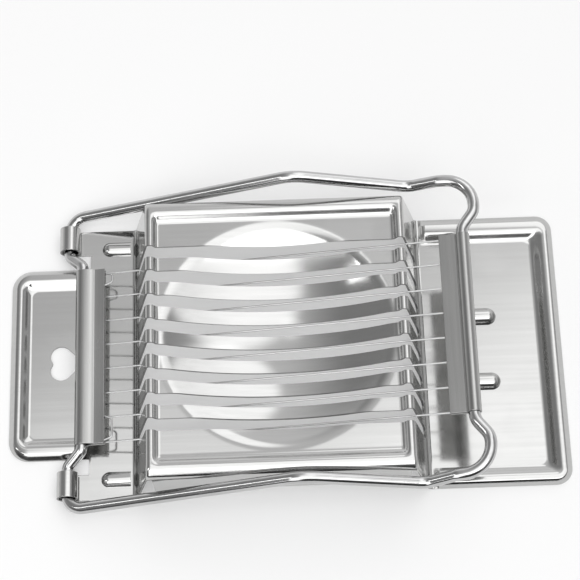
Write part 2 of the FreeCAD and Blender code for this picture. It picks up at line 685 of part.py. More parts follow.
make_hinge_end_plate()
make_egg_bed()
make_handle_end_plate()
make_hinge_ears()
make_frame_rods()
make_wire_bar("hinge", "hinge_bar_offset", 1, "hinge_hole_along")
make_wire_bar("handle", "handle_bar_along", -1, "handle_hole_along")
make_cutting_wires()
make_wire_returns("hinge", "hinge_hole_along", 1)
make_wire_returns("handle", "handle_hole_along", 0)
make_wire_tails()
write_parts()
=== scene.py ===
"""Looks of the pressed-steel egg slicer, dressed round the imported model.

Sizes are millimetres in the part's own frame: +Z up, +X towards the handle end, origin at the
bottom centre of the base. Every piece is scaled to metres when it is finished.
"""

import logging
import math
from dataclasses import dataclass
from enum import Enum
from typing import Callable, Iterable, Optional, Sequence

import bmesh
import bpy
from mathutils import Matrix, Vector


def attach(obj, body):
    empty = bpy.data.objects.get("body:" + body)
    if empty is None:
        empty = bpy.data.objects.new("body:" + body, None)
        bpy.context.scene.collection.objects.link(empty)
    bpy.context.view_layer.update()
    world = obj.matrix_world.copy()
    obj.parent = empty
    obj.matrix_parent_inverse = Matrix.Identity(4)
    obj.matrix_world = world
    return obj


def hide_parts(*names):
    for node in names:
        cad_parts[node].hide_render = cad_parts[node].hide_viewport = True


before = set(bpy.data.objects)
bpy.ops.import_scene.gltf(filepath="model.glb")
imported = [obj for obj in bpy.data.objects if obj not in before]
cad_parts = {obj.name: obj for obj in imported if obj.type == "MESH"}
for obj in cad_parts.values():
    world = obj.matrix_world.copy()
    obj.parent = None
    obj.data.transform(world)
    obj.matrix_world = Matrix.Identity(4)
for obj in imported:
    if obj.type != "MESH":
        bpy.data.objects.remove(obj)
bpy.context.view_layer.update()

LOG = logging.getLogger("egg_slicer")
MM = 0.001
# Lengths in millimetres: places that count as one, doubles that merge, and edges too short to keep
NEAR = 1e-3
DOUBLE = 1e-4
SPECK = 5e-3
EASED_ANGLE = math.radians(50)
SHARP_ANGLE = math.radians(48)
LEVEL_NORMAL = 0.9
BEND_STEP = math.radians(9)
FEWEST_BEND_STEPS = 3
CORNER_STEPS = 8
ROLL_STEPS = 40
FILLET_STEPS = 5
UPWARDS = Vector((0.0, 0.0, 1.0))

Mesh = bmesh.types.BMesh
Vert = bmesh.types.BMVert
Edge = bmesh.types.BMEdge
Face = bmesh.types.BMFace
Pair = tuple[float, float]
Triple = tuple[float, float, float]


class Body(Enum):
    """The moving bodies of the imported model."""

    BASE = "base"
    CUTTER_FRAME = "cutter_frame"


class Slot(Enum):
    """The record's material slots."""

    BASE_SHEET = "base_sheet"
    FRAME_ROD = "frame_rod"
    BAR_SHEET = "bar_sheet"
    WIRE = "wire"


class Side(Enum):
    """The two long sides, by the sign of Y."""

    FAR = 1
    NEAR = -1


def smooth_step(value: float) -> float:
    """Ease a value from 0 to 1, held outside that span."""
    held = min(max(value, 0.0), 1.0)
    return held * held * (3.0 - 2.0 * held)


# Shader groups that the finishes share


def new_group(name: str, inputs: Sequence[tuple[str, str]], outputs: Sequence[str]) -> bpy.types.NodeTree:
    """Start a shader group with named sockets.

    Args:
        name: the group's name.
        inputs: socket names with their kinds.
        outputs: names of the value sockets that it puts out.

    Returns:
        The group, with its input and output nodes in it.
    """
    group = bpy.data.node_groups.new(name, "ShaderNodeTree")
    for label, kind in inputs:
        group.interface.new_socket(label, in_out="INPUT", socket_type=kind)
    for label in outputs:
        group.interface.new_socket(label, in_out="OUTPUT", socket_type="NodeSocketFloat")
    group.nodes.new("NodeGroupInput")
    group.nodes.new("NodeGroupOutput")
    return group


def noise(tree: bpy.types.NodeTree, vector: bpy.types.NodeSocket, detail: float) -> bpy.types.NodeSocket:
    """Add a noise texture at scale 1.

    Args:
        tree: the node tree that gets it.
        vector: the coordinates, already scaled.
        detail: octaves of the noise.

    Returns:
        The socket with the noise from 0 to 1.
    """
    texture = tree.nodes.new("ShaderNodeTexNoise")
    texture.inputs["Scale"].default_value = 1.0
    texture.inputs["Detail"].default_value = detail
    texture.inputs["Roughness"].default_value = 0.6
    tree.links.new(vector, texture.inputs["Vector"])
    return texture.outputs["Fac"]


def scaled(tree: bpy.types.NodeTree, vector: bpy.types.NodeSocket, scale: object) -> bpy.types.NodeSocket:
    """Multiply coordinates by a scale.

    Args:
        tree: the node tree that gets the node.
        vector: the coordinates.
        scale: a socket, or three numbers.

    Returns:
        The socket with the scaled coordinates.
    """
    node = tree.nodes.new("ShaderNodeVectorMath")
    node.operation = "MULTIPLY"
    tree.links.new(vector, node.inputs[0])
    if isinstance(scale, bpy.types.NodeSocket):
        tree.links.new(scale, node.inputs[1])
    else:
        node.inputs[1].default_value = scale
    return node.outputs["Vector"]


def remapped(tree: bpy.types.NodeTree, value: bpy.types.NodeSocket, span: Pair,
             result: Pair) -> bpy.types.NodeSocket:
    """Stretch part of a value's span over another span.

    Args:
        tree: the node tree that gets the node.
        value: the socket with the value.
        span: the values that give the result's ends.
        result: what comes out at those ends.

    Returns:
        The socket with the new value.
    """
    node = tree.nodes.new("ShaderNodeMapRange")
    node.interpolation_type = "SMOOTHSTEP"
    node.inputs["From Min"].default_value = span[0]
    node.inputs["From Max"].default_value = span[1]
    node.inputs["To Min"].default_value = result[0]
    node.inputs["To Max"].default_value = result[1]
    tree.links.new(value, node.inputs["Value"])
    return node.outputs["Result"]


def combined(tree: bpy.types.NodeTree, operation: str, first: bpy.types.NodeSocket,
             second: bpy.types.NodeSocket) -> bpy.types.NodeSocket:
    """Join two varying values with a sum, product or the like.

    Args:
        tree: the node tree that gets the node.
        operation: the name of the sum.
        first: one value.
        second: the other value.

    Returns:
        The socket with the result.
    """
    node = tree.nodes.new("ShaderNodeMath")
    node.operation = operation
    tree.links.new(first, node.inputs[0])
    tree.links.new(second, node.inputs[1])
    return node.outputs["Value"]


def brushed_grain() -> bpy.types.NodeTree:
    """Make or find the group for fine brush lines and broader streaks along one direction.

    Returns:
        The group, which puts out Lines and Streaks.
    """
    name = "Brushed grain"
    group = bpy.data.node_groups.get(name)
    if group:
        return group
    group = new_group(
        name,
        [("Coordinates", "NodeSocketVector"), ("Line scale", "NodeSocketVector"),
         ("Streak scale", "NodeSocketVector")],
        ["Lines", "Streaks"],
    )
    source = group.nodes["Group Input"].outputs
    result = group.nodes["Group Output"].inputs
    lines = noise(group, scaled(group, source["Coordinates"], source["Line scale"]), 3.0)
    streaks = noise(group, scaled(group, source["Coordinates"], source["Streak scale"]), 2.0)
    group.links.new(lines, result["Lines"])
    group.links.new(remapped(group, streaks, (0.3, 0.7), (0.0, 1.0)), result["Streaks"])
    return group


def handling_marks() -> bpy.types.NodeTree:
    """Make or find the group for dull smudges from handling and for fine stray scratches.

    Returns:
        The group, which puts out Smudges and Scratches.
    """
    name = "Handling marks"
    group = bpy.data.node_groups.get(name)
    if group:
        return group
    group = new_group(
        name,
        [("Coordinates", "NodeSocketVector"), ("Smudge scale", "NodeSocketVector")],
        ["Smudges", "Scratches"],
    )
    scratch_turn = math.radians(34.0)
    scratch_scale = (70.0, 2600.0, 500.0)
    patch_scale = (60.0, 60.0, 60.0)
    source = group.nodes["Group Input"].outputs
    result = group.nodes["Group Output"].inputs
    blots = noise(group, scaled(group, source["Coordinates"], source["Smudge scale"]), 4.0)
    group.links.new(remapped(group, blots, (0.42, 0.68), (0.0, 1.0)), result["Smudges"])
    turned = group.nodes.new("ShaderNodeMapping")
    turned.inputs["Rotation"].default_value = (0.0, 0.0, scratch_turn)
    turned.inputs["Scale"].default_value = scratch_scale
    group.links.new(source["Coordinates"], turned.inputs["Vector"])
    hairs = noise(group, turned.outputs["Vector"], 1.0)
    thin = remapped(group, hairs, (0.70, 0.78), (0.0, 1.0))
    patches = noise(group, scaled(group, source["Coordinates"], patch_scale), 1.0)
    where = remapped(group, patches, (0.5, 0.62), (0.0, 1.0))
    group.links.new(combined(group, "MULTIPLY", thin, where), result["Scratches"])
    return group


@dataclass(frozen=True)
class SteelFinish:
    """A stainless finish: its slot, its tones, its gloss and the brush lines on it.

    Scales are cycles per metre along X, Y and Z, so a small number draws the pattern out.
    """

    name: str
    slot: Slot
    tone: Triple
    streak_tone: Triple
    roughness: float
    smudge_roughness: float
    line_scale: Triple
    streak_scale: Triple
    smudge_scale: Triple
    line_depth: float
    line_strength: float
    unevenness: float = 0.01

    def material(self) -> bpy.types.Material:
        """Make or find the finish's material.

        Returns:
            A metallic material whose tone, gloss and bump come from the shared groups.
        """
        found = bpy.data.materials.get(self.name)
        if found:
            return found
        made = bpy.data.materials.new(self.name)
        made.use_nodes = True
        tree = made.node_tree
        shader = tree.nodes["Principled BSDF"]
        shader.inputs["Metallic"].default_value = 1.0
        place = tree.nodes.new("ShaderNodeTexCoord").outputs["Object"]

        grain = tree.nodes.new("ShaderNodeGroup")
        grain.node_tree = brushed_grain()
        grain.inputs["Line scale"].default_value = self.line_scale
        grain.inputs["Streak scale"].default_value = self.streak_scale
        tree.links.new(place, grain.inputs["Coordinates"])
        marks = tree.nodes.new("ShaderNodeGroup")
        marks.node_tree = handling_marks()
        marks.inputs["Smudge scale"].default_value = self.smudge_scale
        tree.links.new(place, marks.inputs["Coordinates"])

        tone = tree.nodes.new("ShaderNodeMix")
        tone.data_type = "RGBA"
        tone.inputs["A"].default_value = (*self.tone, 1.0)
        tone.inputs["B"].default_value = (*self.streak_tone, 1.0)
        tree.links.new(grain.outputs["Streaks"], tone.inputs["Factor"])
        tree.links.new(tone.outputs["Result"], shader.inputs["Base Color"])

        dull = remapped(tree, marks.outputs["Smudges"], (0.0, 1.0), (self.roughness, self.smudge_roughness))
        uneven = remapped(tree, grain.outputs["Streaks"], (0.0, 1.0), (-self.unevenness, self.unevenness))
        tree.links.new(combined(tree, "ADD", dull, uneven), shader.inputs["Roughness"])

        relief = combined(tree, "SUBTRACT", grain.outputs["Lines"], marks.outputs["Scratches"])
        bump = tree.nodes.new("ShaderNodeBump")
        bump.inputs["Strength"].default_value = self.line_strength
        bump.inputs["Distance"].default_value = self.line_depth
        tree.links.new(relief, bump.inputs["Height"])
        tree.links.new(bump.outputs["Normal"], shader.inputs["Normal"])
        return made


BASE_STEEL = SteelFinish(
    name="Pressed base sheet",
    slot=Slot.BASE_SHEET,
    tone=(0.53, 0.53, 0.525),
    streak_tone=(0.505, 0.505, 0.50),
    roughness=0.11,
    smudge_roughness=0.15,
    line_scale=(60.0, 4200.0, 4200.0),
    streak_scale=(14.0, 700.0, 700.0),
    smudge_scale=(45.0, 60.0, 60.0),
    line_depth=0.00001,
    line_strength=0.07,
)
ROD_STEEL = SteelFinish(
    name="Drawn frame rod",
    slot=Slot.FRAME_ROD,
    tone=(0.54, 0.54, 0.54),
    streak_tone=(0.48, 0.48, 0.48),
    roughness=0.11,
    smudge_roughness=0.16,
    line_scale=(120.0, 2200.0, 2200.0),
    streak_scale=(25.0, 500.0, 500.0),
    smudge_scale=(60.0, 60.0, 60.0),
    line_depth=0.00002,
    line_strength=0.08,
)
BAR_STEEL = SteelFinish(
    name="Rolled bar sheet",
    slot=Slot.BAR_SHEET,
    tone=(0.42, 0.42, 0.415),
    streak_tone=(0.37, 0.37, 0.365),
    roughness=0.22,
    smudge_roughness=0.27,
    line_scale=(2600.0, 60.0, 2600.0),
    streak_scale=(700.0, 16.0, 700.0),
    smudge_scale=(60.0, 40.0, 60.0),
    line_depth=0.00002,
    line_strength=0.2,
)
CUT_STEEL = SteelFinish(
    name="Punched edge",
    slot=Slot.BASE_SHEET,
    tone=(0.30, 0.30, 0.295),
    streak_tone=(0.20, 0.20, 0.20),
    roughness=0.34,
    smudge_roughness=0.44,
    line_scale=(900.0, 900.0, 900.0),
    streak_scale=(200.0, 200.0, 200.0),
    smudge_scale=(60.0, 60.0, 60.0),
    line_depth=0.00002,
    line_strength=0.3,
)
WIRE_STEEL = SteelFinish(
    name="Cutting wire",
    slot=Slot.WIRE,
    tone=(0.66, 0.66, 0.66),
    streak_tone=(0.58, 0.58, 0.58),
    roughness=0.30,
    smudge_roughness=0.36,
    line_scale=(300.0, 5000.0, 5000.0),
    streak_scale=(90.0, 900.0, 900.0),
    smudge_scale=(150.0, 150.0, 150.0),
    line_depth=0.000005,
    line_strength=0.02,
)


# Shared shaping of meshes


def verts_of(parts: Iterable[object]) -> list[Vert]:
    """List the vertices among an operator's results."""
    return [part for part in parts if isinstance(part, Vert)]


def edges_of(parts: Iterable[object]) -> list[Edge]:
    """List the edges among an operator's results."""
    return [part for part in parts if isinstance(part, Edge)]


def ends_of(edges: Iterable[Edge]) -> list[Vert]:
    """List the vertices of some edges, each once."""
    return list(dict.fromkeys(vert for edge in edges for vert in edge.verts))


def push(mesh: Mesh, edges: list[Edge], offset: Vector) -> list[Edge]:
    """Extrude edges by an offset.

    Args:
        mesh: the mesh that they belong to.
        edges: an open or closed chain.
        offset: how far the new chain goes.

    Returns:
        The edges of the new chain.
    """
    grown = bmesh.ops.extrude_edge_only(mesh, edges=edges)["geom"]
    fresh = verts_of(grown)
    bmesh.ops.translate(mesh, vec=offset, verts=fresh)
    known = set(fresh)
    return [edge for edge in edges_of(grown) if all(vert in known for vert in edge.verts)]


def push_in_parts(mesh: Mesh, edges: list[Edge], offset: Vector, parts: int) -> list[Edge]:
    """Extrude edges by an offset in equal parts.

    Args:
        mesh: the mesh that they belong to.
        edges: an open or closed chain.
        offset: how far the last chain goes.
        parts: how many new chains.

    Returns:
        The edges of the last chain.
    """
    for _ in range(parts):
        edges = push(mesh, edges, offset / parts)
    return edges


def turn(mesh: Mesh, edges: list[Edge], centre: Vector, axis: Vector, angle: float, steps: int) -> list[Edge]:
    """Spin edges about an axis.

    Args:
        mesh: the mesh that they belong to.
        edges: an open or closed chain.
        centre: a point of the axis.
        axis: the axis, right-handed.
        angle: the turn in radians.
        steps: how many new chains.

    Returns:
        The edges of the last chain.
    """
    spun = bmesh.ops.spin(
        mesh, geom=ends_of(edges) + edges, cent=centre, axis=axis, angle=angle, steps=steps,
        use_merge=False, use_duplicate=False,
    )
    return edges_of(spun["geom_last"])


def is_level(face: Face) -> bool:
    """Tell whether a face lies nearly level."""
    return abs(face.normal.z) > LEVEL_NORMAL


def face_outwards(mesh: Mesh, shows: Callable[[Face], bool], way: Vector) -> None:
    """Make an open sheet's faces agree and look out.

    Args:
        mesh: the sheet.
        shows: picks faces whose outside is known.
        way: the direction that those faces look in.
    """
    bmesh.ops.remove_doubles(mesh, verts=mesh.verts, dist=DOUBLE)
    bmesh.ops.recalc_face_normals(mesh, faces=mesh.faces)
    mesh.normal_update()
    looking = sum(face.normal.dot(way) * face.calc_area() for face in mesh.faces if shows(face))
    if looking < 0.0:
        bmesh.ops.reverse_faces(mesh, faces=mesh.faces)
    mesh.normal_update()


def thicken(mesh: Mesh, thickness: float) -> None:
    """Give a sheet that is drawn by its outside its thickness, inwards, with dull cut edges.

    Args:
        mesh: the sheet.
        thickness: of the sheet.
    """
    drawn = set(mesh.faces)
    corners = set(mesh.verts)
    bmesh.ops.solidify(mesh, geom=mesh.faces[:], thickness=thickness)
    for face in mesh.faces:
        if face not in drawn and any(vert in corners for vert in face.verts):
            face.material_index = 1
    mesh.normal_update()


def ease_edges(mesh: Mesh, width: float, kept_sharp: Optional[Callable[[Edge], bool]] = None) -> None:
    """Round the sharp edges of a finished shape, and close up the specks that this leaves.

    Args:
        mesh: the shape.
        width: size of the rounding.
        kept_sharp: picks edges that stay, such as the seams between nodes of one sheet.
    """
    sharp = [
        edge for edge in mesh.edges
        if len(edge.link_faces) == 2
        and edge.calc_face_angle(0.0) > EASED_ANGLE
        and not (kept_sharp and kept_sharp(edge))
    ]
    bmesh.ops.bevel(
        mesh, geom=sharp, offset=width, offset_type="OFFSET", affect="EDGES", segments=2, profile=0.5,
        material=-1, clamp_overlap=True,
    )
    bmesh.ops.dissolve_degenerate(mesh, dist=SPECK, edges=mesh.edges)


def finish_piece(name: str, mesh: Mesh, finish: SteelFinish, body: Body, *nodes: str) -> bpy.types.Object:
    """Turn a mesh in millimetres into a dressed piece that rides on a body.

    Args:
        name: the piece's name.
        mesh: its shape, which is used up.
        finish: its finish.
        body: the body that carries it.
        nodes: the CAD nodes that it stands for.

    Returns:
        The piece.
    """
    bmesh.ops.scale(mesh, vec=(MM, MM, MM), verts=mesh.verts)
    data = bpy.data.meshes.new(name)
    mesh.to_mesh(data)
    mesh.free()
    data.shade_smooth()
    data.set_sharp_from_angle(angle=SHARP_ANGLE)
    for edge in data.edges:
        edge.use_edge_sharp = edge.use_edge_sharp or edge.use_seam
    data.materials.append(finish.material())
    if any(polygon.material_index for polygon in data.polygons):
        data.materials.append(CUT_STEEL.material())
    piece = bpy.data.objects.new(name, data)
    bpy.context.scene.collection.objects.link(piece)
    even = piece.modifiers.new("even_shading", "WEIGHTED_NORMAL")
    even.keep_sharp = True
    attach(piece, body.value)
    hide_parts(*nodes)
    LOG.info("%s: %d faces, stands for %s", name, len(data.polygons), ", ".join(nodes))
    return piece


def sweep_round(mesh: Mesh, corners: Sequence[Triple], bends: Sequence[float], radius: float,
                sides: int) -> None:
    """Bend a round rod or wire along straight runs with rounded corners.

    Args:
        mesh: the mesh that gets it.
        corners: where the runs would meet, with both ends.
        bends: centre-line radius at each inner corner.
        radius: of the round section.
        sides: of the round section.
    """
    points = [Vector(corner) for corner in corners]
    heading = (points[1] - points[0]).normalized()
    facing = Matrix.Translation(points[0]) @ heading.to_track_quat("Z", "Y").to_matrix().to_4x4()
    made = bmesh.ops.create_circle(mesh, cap_ends=True, segments=sides, radius=radius, matrix=facing)
    ring = list(dict.fromkeys(edge for vert in made["verts"] for edge in vert.link_edges))
    place = points[0]
    for before, corner, after, bend in zip(points, points[1:], points[2:], bends):
        inwards = (before - corner).normalized()
        outwards = (after - corner).normalized()
        half = inwards.angle(outwards) / 2.0
        reach = bend / math.tan(half)
        run = corner + inwards * reach - place
        if run.length > NEAR:
            ring = push(mesh, ring, run)
        centre = corner + (inwards + outwards).normalized() * (bend / math.sin(half))
        angle = math.pi - 2.0 * half
        steps = max(FEWEST_BEND_STEPS, round(angle / BEND_STEP))
        ring = turn(mesh, ring, centre, outwards.cross(inwards), angle, steps)
        place = corner + outwards * reach
    run = points[-1] - place
    if run.length > NEAR:
        ring = push(mesh, ring, run)
    bmesh.ops.edgeloop_fill(mesh, edges=ring)
    bmesh.ops.recalc_face_normals(mesh, faces=mesh.faces)


def rounded_ring(mesh: Mesh, middle: Triple, half_along: float, half_across: float,
                 corner: float) -> list[Edge]:
    """Draw a level rounded rectangle.

    Args:
        mesh: the mesh that gets it.
        middle: its middle point.
        half_along: half its size along X.
        half_across: half its size along Y.
        corner: radius of its corners.

    Returns:
        Its edges.
    """
    known = set(mesh.edges)
    spread = Matrix.Translation(middle) @ Matrix.Diagonal((half_along, half_across, 1.0, 1.0))
    made = bmesh.ops.create_grid(mesh, x_segments=1, y_segments=1, size=1.0, matrix=spread)
    bmesh.ops.bevel(
        mesh, geom=made["verts"], offset=corner, offset_type="OFFSET", affect="VERTICES",
        segments=CORNER_STEPS, profile=0.5, material=-1,
    )
    ring = [edge for edge in mesh.edges if edge not in known]
    inside = {face for edge in ring for face in edge.link_faces}
    bmesh.ops.delete(mesh, geom=list(inside), context="FACES_ONLY")
    return ring


def long_ring(mesh: Mesh, start: Triple, length: float, radius: float, sides: int) -> list[Edge]:
    """Draw a level ring with two straight sides along X and round ends.

    Args:
        mesh: the mesh that gets it.
        start: centre of its first end.
        length: between its end centres.
        radius: of its ends.
        sides: how many edges it has.

    Returns:
        Its edges.
    """
    half_step = Matrix.Rotation(math.pi / sides, 4, "Z")
    made = bmesh.ops.create_circle(
        mesh, cap_ends=False, segments=sides, radius=radius, matrix=Matrix.Translation(start) @ half_step,
    )
    ahead = [vert for vert in made["verts"] if vert.co.x > start[0]]
    bmesh.ops.translate(mesh, vec=(length, 0.0, 0.0), verts=ahead)
    return list(dict.fromkeys(edge for vert in made["verts"] for edge in vert.link_edges))


def on_plane(edge: Edge, x: float) -> bool:
    """Tell whether an edge lies in a plane across the base."""
    return all(abs(vert.co.x - x) < NEAR for vert in edge.verts)


@dataclass(frozen=True)
class BaseSizes:
    """Places and sizes that the pieces of the base share."""

    sheet: float = 0.5
    half_length: float = 68.05
    half_width: float = 35.23
    hinge_x: float = -53.45
    hinge_z: float = 2.55
    ear_inner: float = 28.78
    deck_x: float = -48.45
    deck_end_x: float = -38.05
    plate_start_x: float = 34.55
    rim_height: float = 1.95
    rim_lip: float = 0.5
    rim_skirt_run: float = 1.25
    rim_skirt_top: float = 1.75
    inner_corner: float = 1.4
    edge_ease: float = 0.1


BASE = BaseSizes()


@dataclass
class PressedRib:
    """A rib pressed up out of a flat plate, along X with round ends.

    It stops at end_x, where it leans back by end_lean of its rise, and its rings stop at the crown's angle.
    """

    start_x: float
    length: float
    y: float
    radius: float
    foot_flare: float = 0.35
    height: float = 2.05
    end_x: float = math.inf
    end_lean: float = 0.05
    crown: float = math.radians(84)
    sides: int = 32
    rings: int = 7

    def press(self, mesh: Mesh) -> list[Edge]:
        """Build the rib on the plate.

        Args:
            mesh: the plate.

        Returns:
            The edges of its foot, which bound the hole that the flat leaves for it.
        """
        rise = self.height - BASE.sheet
        foot = self.ring(mesh, self.radius + self.foot_flare, 0.0)
        last = foot
        for index in range(self.rings):
            share = (index + 1) / self.rings
            angle = self.crown * share
            fresh = self.ring(mesh, self.radius * math.cos(angle), rise * math.sin(angle))
            bmesh.ops.bridge_loops(mesh, edges=last + fresh)
            last = fresh
        bmesh.ops.edgeloop_fill(mesh, edges=last)
        return foot

    def ring(self, mesh: Mesh, radius: float, rise: float) -> list[Edge]:
        """Draw one level ring of the rib, held back at the end of the plate.

        Args:
            mesh: the plate.
            radius: of the ring's round ends.
            rise: of the ring above the flat.

        Returns:
            The ring's edges.
        """
        place = (self.start_x, self.y, BASE.sheet + rise)
        edges = long_ring(mesh, place, self.length, radius, self.sides)
        for vert in ends_of(edges):
            vert.co.x = min(vert.co.x, self.end_x - rise * self.end_lean)
        return edges


@dataclass(frozen=True)
class RimProfile:
    """How far a rim's crest and the flat inside it lie from the plate's edge."""

    crest: float
    flat: float
    round_steps: int = 4
    slope_steps: int = 12

    def rows(self) -> list[Pair]:
        """List the rim's outside from its foot to the flat.

        Returns:
            Each row's inset from the edge and its height.
        """
        height = BASE.rim_height
        rows = [(0.0, 0.0), (0.0, BASE.rim_lip), (BASE.rim_skirt_run, BASE.rim_skirt_top)]
        for step in range(1, self.round_steps):
            share = step / self.round_steps
            rows.append((
                BASE.rim_skirt_run + (self.crest - BASE.rim_skirt_run) * share,
                height - (height - BASE.rim_skirt_top) * (1.0 - share) ** 2,
            ))
        for step in range(self.slope_steps + 1):
            share = step / self.slope_steps
            rows.append((
                self.crest + (self.flat - self.crest) * share,
                height + (BASE.sheet - height) * smooth_step(share),
            ))
        return rows


@dataclass
class RimmedPlate:
    """A flat plate with a raised rim on three sides, drawn by its outside.

    The shift moves the crest towards the near side, and the rim fades out before its open end.
    """

    round_x: float
    open_x: float
    half: float
    along: RimProfile
    across: RimProfile
    shift: float
    corner: float
    fade: float
    fade_steps: int = 6

    def press_rim(self, mesh: Mesh) -> list[Edge]:
        """Build the rim and leave it open towards the bed.

        Args:
            mesh: the mesh that gets it.

        Returns:
            The rim's inner edges on the flat.
        """
        reach = abs(self.open_x - self.round_x)
        last: list[Edge] = []
        for (inset, z), (inset_across, _) in zip(self.along.rows(), self.across.rows()):
            aside = self.shift * min(inset_across / self.across.crest, 1.0)
            ring = rounded_ring(
                mesh, (0.0, -aside, z), reach - inset, self.half - inset_across,
                max(self.corner - inset, BASE.inner_corner),
            )
            if last:
                bmesh.ops.bridge_loops(mesh, edges=last + ring)
            last = ring
        way = math.copysign(1.0, self.open_x - self.round_x)
        for step in range(self.fade_steps + 1):
            everything = mesh.verts[:] + mesh.edges[:] + mesh.faces[:]
            bmesh.ops.bisect_plane(
                mesh, geom=everything, dist=DOUBLE, plane_no=(way, 0.0, 0.0), clear_outer=step == 0,
                plane_co=(-way * self.fade * step / self.fade_steps, 0.0, 0.0),
            )
        for vert in mesh.verts:
            if vert.co.z > BASE.sheet:
                share = abs(vert.co.x) / self.fade
                vert.co.z = BASE.sheet + (vert.co.z - BASE.sheet) * smooth_step(share)
        bmesh.ops.translate(mesh, vec=(self.open_x, 0.0, 0.0), verts=mesh.verts)
        return [
            edge for edge in mesh.edges
            if edge.is_boundary
            and all(abs(vert.co.z - BASE.sheet) < NEAR for vert in edge.verts)
            and not on_plane(edge, self.open_x)
        ]

    def open_end(self, mesh: Mesh) -> list[Edge]:
        """List the level edges across the rim's two ends at the open side.

        Args:
            mesh: the mesh that has the rim.

        Returns:
            The edges.
        """
        return [
            edge for edge in mesh.edges
            if edge.is_boundary
            and on_plane(edge, self.open_x)
            and all(abs(vert.co.z - BASE.sheet) < NEAR for vert in edge.verts)
        ]


def nearest(verts: Iterable[Vert], place: Triple) -> Vert:
    """Find the vertex nearest to a place."""
    there = Vector(place)
    return min(verts, key=lambda vert: (vert.co - there).length)


def draw_line(mesh: Mesh, start: Vert, places: Sequence[Triple], end: Vert) -> list[Edge]:
    """Draw straight edges from one vertex over some places to another.

    Args:
        mesh: the mesh that gets them.
        start: the first vertex.
        places: the corners between.
        end: the last vertex.

    Returns:
        The edges in order.
    """
    chain = [start] + [mesh.verts.new(place) for place in places] + [end]
    return [mesh.edges.new(pair) for pair in zip(chain, chain[1:])]


def fill_flat(mesh: Mesh, bounds: list[Edge]) -> None:
    """Fill the level area that an outline and its holes bound, marked so that it shades flat.

    Args:
        mesh: the mesh that gets it.
        bounds: the outline's edges and the holes' edges.
    """
    for edge in bounds:
        edge.seam = True
    bmesh.ops.triangle_fill(mesh, use_beauty=True, use_dissolve=False, edges=bounds, normal=(0.0, 0.0, 1.0))


